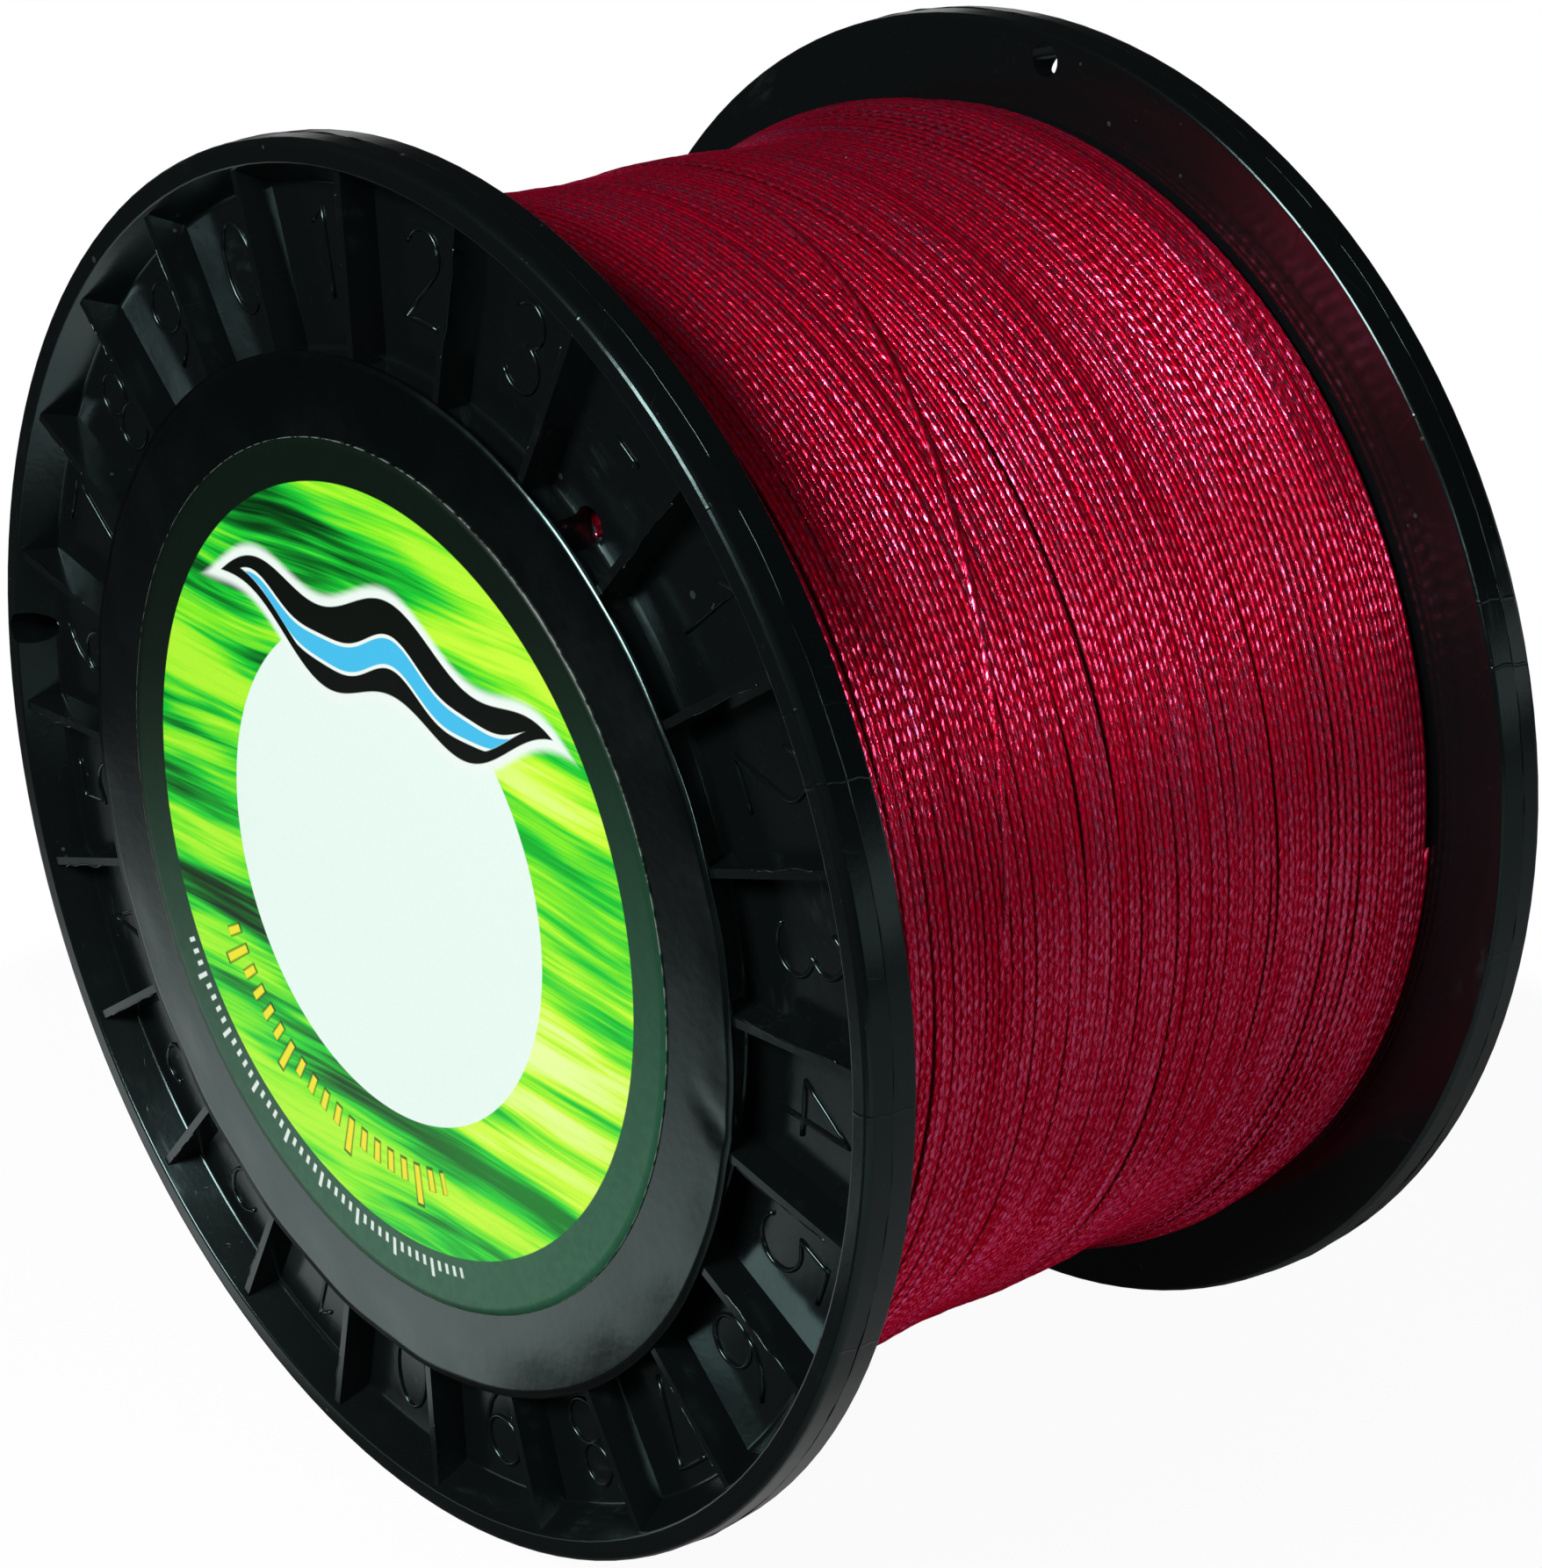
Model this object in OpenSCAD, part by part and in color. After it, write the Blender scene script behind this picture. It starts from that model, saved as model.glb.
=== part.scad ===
// Loaded fishing line spool: two ribbed flanges on a barrel, with braided line wound between them.
// The axis lies along Y with its middle at the origin. The labelled flange faces -Y, +Z is up,
// and the spool stands on its two rims. Lengths are in millimetres, angles in degrees.

/* [Spool] */
// Outside diameter of both flanges
flange_d = 165; // [155:1:190]
// Width of the whole spool along its axis
overall_w = 101; // [85:1:130]
// Diameter of the arbor bore
arbor_d = 16; // [12:0.5:20]
// Chamfer at the mouth of the arbor bore
arbor_lead = 0.6; // [0.2:0.1:1]
// Angle of the front flange's start hole, from +X towards +Z
front_turn = 55.9; // [0:0.1:360]
// Angle of the rear flange's start hole, from +X towards +Z
rear_turn = 206.1; // [0:0.1:360]

/* [Flange rim] */
// Width of a rim along the axis
rim_w = 6.5; // [6:0.1:9]
// Thickness of the rim's wall at the outer face
rim_lip_t = 2.6; // [2.2:0.1:4]
// How much thicker the rim's wall is at the pocket floor
rim_slope = 2.7; // [1:0.1:4]
// Distance of the mould parting line from the outer face
parting_z = 3.15; // [2:0.05:4]
// Fall of the rim's outside from the parting line to its edges
parting_fall = 0.2; // [0.1:0.05:0.5]
// Radius of the rim's edge at the outer face
lip_edge_r = 0.9; // [0.3:0.1:1.2]
// Radius of the rim's edge on the winding side
back_edge_r = 0.5; // [0.2:0.1:1]
// Radius of the rim's inner edge at the outer face
inner_edge_r = 0.4; // [0.2:0.1:0.6]

/* [Flange web and ribs] */
// Thickness of the flange's web
web_t = 2; // [1.5:0.1:3]
// Depth of the rib tops behind the rim's outer face
seat_drop = 0.6; // [0.6:0.1:1.5]
// Number of radial ribs between the hub ring and the rim
rib_n = 24; // [12:4:36]
// Thickness of a rib at its top
rib_top_t = 1; // [0.8:0.1:2]
// Thickness of a rib at the pocket floor
rib_foot_t = 2.2; // [1.5:0.1:3.5]
// Outside diameter of the hub ring at the pocket floor
hub_ring_d = 116.6; // [105:0.1:130]
// Thickness of the hub ring's wall
hub_ring_t = 2.6; // [2:0.1:4]
// Draft of the hub ring, over its height on each side
hub_draft = 0.3; // [0.1:0.05:0.6]
// Radius of the fillets where walls stand on the web
floor_r = 0.7; // [0.3:0.1:1]
// Radius of the crests of the hub ring, the boss and the spigot
crest_r = 0.3; // [0.1:0.1:0.6]

/* [Arbor boss] */
// Outside diameter of the arbor boss
boss_d = 27; // [25:0.5:34]
// Length of the boss inside the barrel
boss_in_l = 9; // [6:0.5:20]
// Number of spokes between the boss and the hub ring
spoke_n = 12; // [6:1:18]
// Number of gussets on the boss inside the barrel
gusset_n = 6; // [3:1:12]
// Reach of a gusset out from the boss
gusset_reach = 12; // [8:1:18]
// Height of a gusset along the boss
gusset_h = 6; // [3:0.5:7]
// Thickness of a gusset
gusset_t = 2; // [1.5:0.1:3]

/* [Barrel] */
// Outside diameter of the barrel
barrel_d = 114; // [104:1:118]
// Thickness of the barrel's wall
barrel_t = 3; // [2:0.1:4]
// Height of the spigot that locates the barrel
spigot_h = 5; // [3:0.5:8]
// Thickness of the spigot's wall
spigot_t = 2; // [1.5:0.1:3]
// Radial clearance of the spigot in the barrel
spigot_clear = 0.1; // [0.05:0.05:0.3]

/* [Line holes] */
// Diameter of the hole where the line starts, beside the barrel
start_hole_d = 4.4; // [2.5:0.1:5]
// How far the start hole laps over the barrel's end
start_lap = 0.4; // [0.2:0.1:0.8]
// Diameter of the hole in the rim that holds the line's outer end
end_hole_d = 4.2; // [2.5:0.1:5]
// Thickness of rim left outside the end hole
end_hole_wall = 1.4; // [1:0.1:2]
// Number of pockets from the start hole to the end hole, counter-clockwise from outside
end_hole_pocket = 8; // [1:1:11]

/* [Winding] */
// Diameter of the winding over most of its width
wind_d = 141.4; // [136:0.1:148]
// Rise of the winding's surface beside the rear flange
wind_rise = 2.3; // [0:0.1:3]
// Distance from the rear flange to the middle of that rise
wind_rise_at = 13.5; // [12:0.5:24]
// Length over which the winding rises
wind_rise_l = 12; // [6:0.5:20]
// Fall of the surface again where it meets the rear flange
wind_fall = 0.8; // [0:0.1:1.5]
// Height of the slow waves along the winding's surface
wind_wave = 0.25; // [0:0.05:0.4]
// Length of one slow wave
wind_wave_l = 26; // [15:1:40]
// Number of turns in the outer layer
turn_n = 24; // [12:1:24]
// Gap between neighbouring turns of the outer layer
turn_gap = 0.5; // [0.45:0.05:1]
// Gap between the end turns and the flanges
end_gap = 0.8; // [0.6:0.1:2]
// Clearance of the inner layers round the barrel and under the outer turns
wrap_clear = 0.05; // [0.02:0.01:0.2]
// Clearance of the outer layer's ends in the inner layers
socket_clear = 0.1; // [0.05:0.05:0.2]
// Diameter of the line itself, as at its start
line_d = 0.9; // [0.5:0.05:1.5]
// Length of line that stands out of the winding in the start hole
start_l = 1.7; // [1:0.1:4]

/* [Label] */
// Diameter of the black disc over the hub
disc_d = 122; // [118:0.5:135]
// Thickness of the black disc
disc_t = 0.4; // [0.2:0.05:0.4]
// Sideways place of the disc on the flange
disc_x = -0.2; // [-1:0.1:1]
// Height of the disc's middle against the axis
disc_z = -2.1; // [-2.5:0.1:1]
// Diameter of the printed label
label_d = 102.6; // [80:0.1:110]
// Thickness of the printed label
label_t = 0.15; // [0.1:0.01:0.2]
// Sideways place of the label on the flange
label_x = -0.9; // [-2:0.1:2]
// Height of the label's middle against the axis
label_z = -2.1; // [-3:0.1:2]

/* [Hidden] */
$fn = 120;

PLASTIC = "#14181a";
BARREL = "#1d2022";
LINE = "#a50d24";
LINE_SHADE = "#6d0717";
DISC = "#26282a";
LABEL = "#3fae49";

// Overlap by which a rib is sunk into what it joins
JOIN = 0.8;
// How far a cutter runs past the face that it cuts
PAST = 1;
// Segments in each rounded corner of the flange's profile
ARC_STEPS = 4;
// Sides of the outer layer's tube, rings in one of its turns and rings in each end's bend
TUBE_SIDES = 6;
TURN_RINGS = 24;
BEND_RINGS = 5;
// Bend of the tube where it dives into the inner layers, in tube diameters
BEND = 1.2;
// Steps along the inner layers' profile
PACK_STEPS = 32;

flange_r = flange_d / 2;
arbor_r = arbor_d / 2;
boss_r = boss_d / 2;
floor_z = rim_w - web_t;
lip_r = flange_r - parting_fall - rim_lip_t;
rim_floor_r = lip_r - rim_slope;
hub_r = hub_ring_d / 2;
hub_in_r = hub_r - hub_ring_t;
barrel_r = barrel_d / 2;
spigot_r = barrel_r - barrel_t - spigot_clear;
traverse = overall_w - 2 * rim_w;
start_r = barrel_r + start_hole_d / 2 - start_lap;
end_hole_r = flange_r - end_hole_wall - end_hole_d / 2;
pocket_angle = 360 / rib_n;
line_start_r = start_r - line_d / 2;

// The turns and the gaps between them fill the traverse
pitch = (traverse - 2 * end_gap + turn_gap) / (turn_n + 1);
turn_flats = pitch - turn_gap;
turn_d = turn_flats / cos(180 / TUBE_SIDES);
first_y = -traverse / 2 + end_gap + turn_flats / 2;
bend_r = BEND * turn_d;

function unit(v) = v / norm(v);

// Points that round the corner b between a and c
function corner(a, b, c, r) =
    r == 0 ? [b] :
    let (u = unit(a - b), v = unit(c - b), half = acos(u * v) / 2,
         middle = b + unit(u + v) * r / sin(half),
         from = b + u * r / tan(half) - middle,
         to = b + v * r / tan(half) - middle,
         angle = atan2(from.y, from.x),
         sweep = (atan2(to.y, to.x) - angle + 540) % 360 - 180)
    [for (i = [0:ARC_STEPS])
        let (a = angle + sweep * i / ARC_STEPS)
        middle + r * [cos(a), sin(a)]];

// A closed outline from corners given as [x, y, radius]
function rounded(corners) =
    let (n = len(corners), at = function (i) [corners[i % n][0], corners[i % n][1]])
    [for (i = [0:n - 1]) each corner(at(i + n - 1), at(i), at(i + 1), corners[i][2])];

// A smooth step from 0 to 1
function ease(t) = let (k = max(0, min(1, t))) k * k * (3 - 2 * k);

// Outside radius of the winding at a place along the axis
function wind_r(y) =
    let (from_rear = traverse / 2 - y,
         rise = ease((wind_rise_at + wind_rise_l / 2 - from_rear) / wind_rise_l),
         fall = ease(1 - from_rear / (wind_rise_at - wind_rise_l / 2)))
    wind_d / 2 + wind_rise * rise - wind_fall * fall + wind_wave * sin(360 * y / wind_wave_l);

// Radius of the outer layer's middle line, and of the inner layers below its flat chords
function turn_r(y) = wind_r(y) - turn_d / 2;
function pack_r(y) = (turn_r(y) - turn_d / 2) * cos(180 / TURN_RINGS) - wrap_clear;

// Puts a flange, drawn from its outer face inward along +Z, on the front
module at_front() {
    translate([0, -overall_w / 2, 0])
        rotate([-90, 0, 0])
            rotate([0, 0, -front_turn])
                children();
}

// The same on the rear
module at_rear() {
    translate([0, overall_w / 2, 0])
        rotate([90, 0, 0])
            rotate([0, 0, rear_turn])
                children();
}

// The revolved section of a flange: boss, web, hub ring, rim and spigot in one outline
module flange_section() {
    tip_z = rim_w + boss_in_l;
    spigot_z = rim_w + spigot_h;
    polygon(rounded([
        [arbor_r, seat_drop + arbor_lead, 0],
        [arbor_r + arbor_lead, seat_drop, 0],
        [boss_r, seat_drop, crest_r],
        [boss_r, floor_z, floor_r],
        [hub_in_r - hub_draft, floor_z, floor_r],
        [hub_in_r, seat_drop, crest_r],
        [hub_r - hub_draft, seat_drop, crest_r],
        [hub_r, floor_z, floor_r],
        [rim_floor_r, floor_z, floor_r],
        [lip_r, 0, inner_edge_r],
        [flange_r - parting_fall, 0, lip_edge_r],
        [flange_r, parting_z, 0],
        [flange_r - parting_fall, rim_w, back_edge_r],
        [spigot_r, rim_w, 0],
        [spigot_r, spigot_z, crest_r],
        [spigot_r - spigot_t, spigot_z, crest_r],
        [spigot_r - spigot_t, rim_w, floor_r],
        [boss_r, rim_w, floor_r],
        [boss_r, tip_z, crest_r],
        [arbor_r, tip_z, 0]
    ]));
}

// One drafted rib from radius a to radius b, standing on the web
module rib(a, b) {
    translate([a, 0, 0])
        rotate([90, 0, 90])
            linear_extrude(b - a)
                polygon([
                    [-rib_top_t / 2, seat_drop],
                    [rib_top_t / 2, seat_drop],
                    [rib_foot_t / 2, floor_z],
                    [rib_foot_t / 2, floor_z + web_t / 2],
                    [-rib_foot_t / 2, floor_z + web_t / 2],
                    [-rib_foot_t / 2, floor_z]
                ]);
}

// One gusset between the web and the part of the boss inside the barrel
module gusset() {
    foot_z = rim_w - web_t / 2;
    rotate([90, 0, 0])
        translate([0, 0, -gusset_t / 2])
            linear_extrude(gusset_t)
                polygon([
                    [boss_r - JOIN, foot_z],
                    [boss_r + gusset_reach, foot_z],
                    [boss_r + gusset_reach, rim_w],
                    [boss_r, rim_w + gusset_h],
                    [boss_r - JOIN, rim_w + gusset_h]
                ]);
}

// Both flanges are the same moulding. Its start hole lies at angle 0, in the middle of a pocket
module flange() {
    difference() {
        union() {
            rotate_extrude() flange_section();
            for (i = [0:rib_n - 1])
                rotate([0, 0, (i + 0.5) * pocket_angle])
                    rib(hub_r - hub_ring_t / 2, lip_r + JOIN);
            for (i = [0:spoke_n - 1])
                rotate([0, 0, (i + 0.5) * 360 / spoke_n])
                    rib(boss_r - JOIN, hub_in_r + JOIN);
            for (i = [0:gusset_n - 1])
                rotate([0, 0, i * 360 / gusset_n])
                    gusset();
        }
        translate([start_r, 0, -PAST])
            cylinder(d = start_hole_d, h = rim_w + 2 * PAST);
        rotate([0, 0, -end_hole_pocket * pocket_angle])
            translate([end_hole_r, 0, -PAST])
                cylinder(d = end_hole_d, h = rim_w + 2 * PAST);
    }
}

// The flange with the label
module front_flange() {
    color(PLASTIC) at_front() flange();
}

// The flange with the open hub
module rear_flange() {
    color(PLASTIC) at_rear() flange();
}

// The tube between the flanges, over both spigots
module barrel() {
    color(BARREL)
        rotate([-90, 0, 0])
            translate([0, 0, -traverse / 2])
                difference() {
                    cylinder(r = barrel_r, h = traverse);
                    translate([0, 0, -PAST])
                        cylinder(r = barrel_r - barrel_t, h = traverse + 2 * PAST);
                }
}

// Where an end of the outer layer dives into the inner layers. side is -1 at the front, 1 at the rear
module dive_socket(side) {
    y = -side * first_y;
    socket_r = turn_d / 2 + socket_clear;
    bend_x = turn_r(y) - bend_r;
    translate([bend_x - turn_d, y, 0])
        rotate([0, 90, 0])
            cylinder(r = socket_r, h = turn_d, $fn = 36);
    translate([bend_x, y, -side * bend_r])
        rotate([side * 90, 0, 0])
            rotate_extrude(angle = 90, $fn = 36)
                translate([bend_r, 0])
                    circle(r = socket_r, $fn = 36);
}

// The inner layers of line, wound solid round the barrel
module line_pack() {
    ys = [for (i = [0:PACK_STEPS]) traverse * (i / PACK_STEPS - 0.5)];
    inner_r = barrel_r + wrap_clear;
    color(LINE_SHADE)
        difference() {
            rotate([-90, 0, 0])
                rotate_extrude()
                    polygon(concat(
                        [for (y = ys) [pack_r(y), y]],
                        [[inner_r, traverse / 2], [inner_r, -traverse / 2]]
                    ));
            dive_socket(-1);
            dive_socket(1);
        }
}

// Angle at which the first turn has come up out of its socket, and angle from there to its end
turn_lead = atan(bend_r / turn_r(first_y));
turn_run = 360 * turn_n - 2 * turn_lead;

// The outer layer's middle line at angle t, as [x, y, z, angle of the ring's first corner]
function turn_stop(t) =
    let (y = first_y * (1 - 2 * (t - turn_lead) / turn_run), r = turn_r(y))
    [r * cos(t), y, r * sin(t), t];

// Its stops from end to end: up out of the inner layers, round turn_n times, and down again
function turn_route() =
    let (front_x = turn_r(first_y) - bend_r,
         rear_x = turn_r(-first_y) - bend_r,
         last = turn_n * TURN_RINGS,
         bends = [for (i = [0:BEND_RINGS - 1]) 90 * i / BEND_RINGS])
    concat(
        [[front_x - turn_d, first_y, 0, -90]],
        [for (a = bends) [front_x + bend_r * sin(a), first_y, bend_r * (1 - cos(a)), a - 90]],
        [for (i = [0:last]) turn_stop(turn_lead + turn_run * i / last)],
        [for (i = [BEND_RINGS - 1:-1:0])
            let (a = bends[i])
            [rear_x + bend_r * sin(a), -first_y, -bend_r * (1 - cos(a)), 90 - a]],
        [[rear_x - turn_d, -first_y, 0, 90]]
    );

// The corners of one ring of the tube
function ring(stop) =
    [for (i = [0:TUBE_SIDES - 1])
        let (a = 360 * i / TUBE_SIDES)
        [stop[0], stop[1], stop[2]]
            + turn_d / 2 * [cos(a) * cos(stop[3]), sin(a), cos(a) * sin(stop[3])]];

// The outer layer, one unbroken tube. Its least gap to itself is measured from the corners of the
// rings to the corners that lie one turn further on.
module line_turns() {
    least_gap = min([
        for (t = [turn_lead:360 / TURN_RINGS:360 * (turn_n - 1) - turn_lead])
            for (p = ring(turn_stop(t)), q = ring(turn_stop(t + 360)))
                norm(p - q)
    ]);
    echo(least_gap_between_turns_mm = least_gap);
    rings = [for (stop = turn_route()) ring(stop)];
    side = TUBE_SIDES;
    last = side * (len(rings) - 1);
    color(LINE)
        polyhedron(
            points = [for (corners = rings) each corners],
            faces = concat(
                [for (i = [1:side - 2]) [0, i, i + 1]],
                [for (k = [0:side:last - side], i = [0:side - 1])
                    let (a = k + i, b = k + (i + 1) % side)
                    each [[a, a + side, b + side], [a, b + side, b]]],
                [for (i = [1:side - 2]) [last, last + i + 1, last + i]]
            )
        );
}

// The line's start, where it comes through the web beside the barrel
module line_start() {
    color(LINE)
        at_front()
            translate([line_start_r, 0, rim_w - start_l]) {
                cylinder(d = line_d, h = start_l, $fn = 24);
                sphere(d = line_d, $fn = 24);
            }
}

// The thin disc that covers the hub ring, seated on the tops of the ribs and the boss
module backing_disc() {
    color(DISC)
        translate([disc_x, seat_drop - overall_w / 2, disc_z])
            rotate([90, 0, 0])
                cylinder(d = disc_d, h = disc_t);
}

// The printed label, stuck on the disc
module printed_label() {
    color(LABEL)
        translate([label_x, seat_drop - disc_t - overall_w / 2, label_z])
            rotate([90, 0, 0])
                cylinder(d = label_d, h = label_t);
}

front_flange();
rear_flange();
barrel();
line_pack();
line_turns();
line_start();
backing_disc();
printed_label();
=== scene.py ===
"""Finishes and fine forms of a loaded fishing line spool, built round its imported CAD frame.

The axis of the spool runs along Y with the label towards -Y, Z is up, and lengths are in metres.
Angles round the axis start at +X and grow towards +Z.
"""

import logging
import math
from collections.abc import Iterable, Mapping, Sequence
from dataclasses import dataclass, field
from enum import Enum
from typing import Union

import bpy
import numpy as np
from mathutils import Matrix, Vector


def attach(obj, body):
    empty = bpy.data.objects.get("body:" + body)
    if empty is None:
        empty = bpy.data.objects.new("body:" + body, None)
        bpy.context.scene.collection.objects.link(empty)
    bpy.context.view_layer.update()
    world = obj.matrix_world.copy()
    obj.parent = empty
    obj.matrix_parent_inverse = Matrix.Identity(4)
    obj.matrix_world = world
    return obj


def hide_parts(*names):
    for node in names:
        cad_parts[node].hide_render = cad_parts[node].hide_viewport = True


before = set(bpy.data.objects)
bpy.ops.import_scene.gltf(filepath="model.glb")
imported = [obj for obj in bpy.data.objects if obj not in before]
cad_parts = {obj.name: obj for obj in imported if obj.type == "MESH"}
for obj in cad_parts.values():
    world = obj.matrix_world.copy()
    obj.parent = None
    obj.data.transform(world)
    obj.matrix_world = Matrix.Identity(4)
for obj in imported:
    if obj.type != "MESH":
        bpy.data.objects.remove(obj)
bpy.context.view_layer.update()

LOG = logging.getLogger("line_spool")
MM = 0.001
FULL_TURN = 2.0 * math.pi

Colour = tuple[float, float, float]
Tint = tuple[float, float, float, float]
Place = tuple[float, float, float]
Span = tuple[float, float]
Points = np.ndarray
Value = Union["Wire", float]
Feed = Union["Wire", float, Sequence[float]]

WHITE: Tint = (1.0, 1.0, 1.0, 1.0)
BLACK: Colour = (0.0, 0.0, 0.0)
SPOOL_W = 101.0 * MM
RIB_COUNT = 24


def linear(channel: int) -> float:
    """Turn one 8-bit display value into a linear one."""
    share = channel / 255.0
    return share / 12.92 if share <= 0.04045 else ((share + 0.055) / 1.055) ** 2.4


def srgb(red: int, green: int, blue: int) -> Colour:
    """Turn an 8-bit display colour into the linear colour that shaders use."""
    return linear(red), linear(green), linear(blue)


def ease(share: Points) -> Points:
    """Blend smoothly from 0 to 1 while the share goes from 0 to 1."""
    held = np.clip(share, 0.0, 1.0)
    return held * held * (3.0 - 2.0 * held)


def unit(vectors: Points) -> Points:
    """Scale each vector to length 1."""
    return vectors / np.linalg.norm(vectors, axis=-1, keepdims=True)


def at(radius: Points | float, theta: Points | float, y: Points | float) -> Points:
    """Give the points at a radius and an angle round the axis, and a place along it."""
    radius, theta, y = np.broadcast_arrays(radius, theta, y)
    return np.stack([radius * np.cos(theta), y, radius * np.sin(theta)], -1)


def soft_noise(rng: np.random.Generator, count: int, smooth: float) -> Points:
    """Make a smooth random row of unit spread.

    Args:
        rng: Seeded source of the random numbers.
        count: How many values the row has.
        smooth: Spread of the smoothing window, in values.

    Returns:
        The row, with mean 0 and standard deviation 1.
    """
    reach = int(4 * smooth)
    window = np.exp(-0.5 * (np.arange(-reach, reach + 1) / smooth) ** 2)
    row = np.convolve(rng.standard_normal(count + 2 * reach), window, "valid")[:count]
    return (row - row.mean()) / row.std()


def add_object(name: str, data: bpy.types.ID) -> bpy.types.Object:
    """Make an object and link it to the scene.

    Args:
        name: Name of the object.
        data: Its mesh, lamp or camera.

    Returns:
        The object.
    """
    made = bpy.data.objects.new(name, data)
    bpy.context.scene.collection.objects.link(made)
    return made


def dress(node: str, finish: bpy.types.Material) -> None:
    """Give a CAD node its finish.

    Args:
        node: Name of the node.
        finish: Its material.
    """
    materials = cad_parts[node].data.materials
    materials.clear()
    materials.append(finish)


# ---------------------------------------------------------------- shader graphs


class Wire:
    """An output socket in a shader graph. Operators on it add Math nodes."""

    def __init__(self, graph: "Graph", socket: bpy.types.NodeSocket) -> None:
        """Hold the socket and the graph that it belongs to."""
        self.graph = graph
        self.socket = socket

    def output(self, name: str | int) -> "Wire":
        """Give another output of the same node."""
        return Wire(self.graph, self.socket.node.outputs[name])

    def __add__(self, other: Value) -> "Wire":
        """Add."""
        return self.graph.math("ADD", self, other)

    def __radd__(self, other: Value) -> "Wire":
        """Add, with the number on the left."""
        return self.graph.math("ADD", other, self)

    def __sub__(self, other: Value) -> "Wire":
        """Subtract."""
        return self.graph.math("SUBTRACT", self, other)

    def __rsub__(self, other: Value) -> "Wire":
        """Subtract from the number on the left."""
        return self.graph.math("SUBTRACT", other, self)

    def __mul__(self, other: Value) -> "Wire":
        """Multiply."""
        return self.graph.math("MULTIPLY", self, other)

    def __rmul__(self, other: Value) -> "Wire":
        """Multiply, with the number on the left."""
        return self.graph.math("MULTIPLY", other, self)

    def __truediv__(self, other: Value) -> "Wire":
        """Divide."""
        return self.graph.math("DIVIDE", self, other)

    def __pow__(self, other: Value) -> "Wire":
        """Raise to a power."""
        return self.graph.math("POWER", self, other)

    def __abs__(self) -> "Wire":
        """Drop the sign."""
        return self.graph.math("ABSOLUTE", self)


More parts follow.
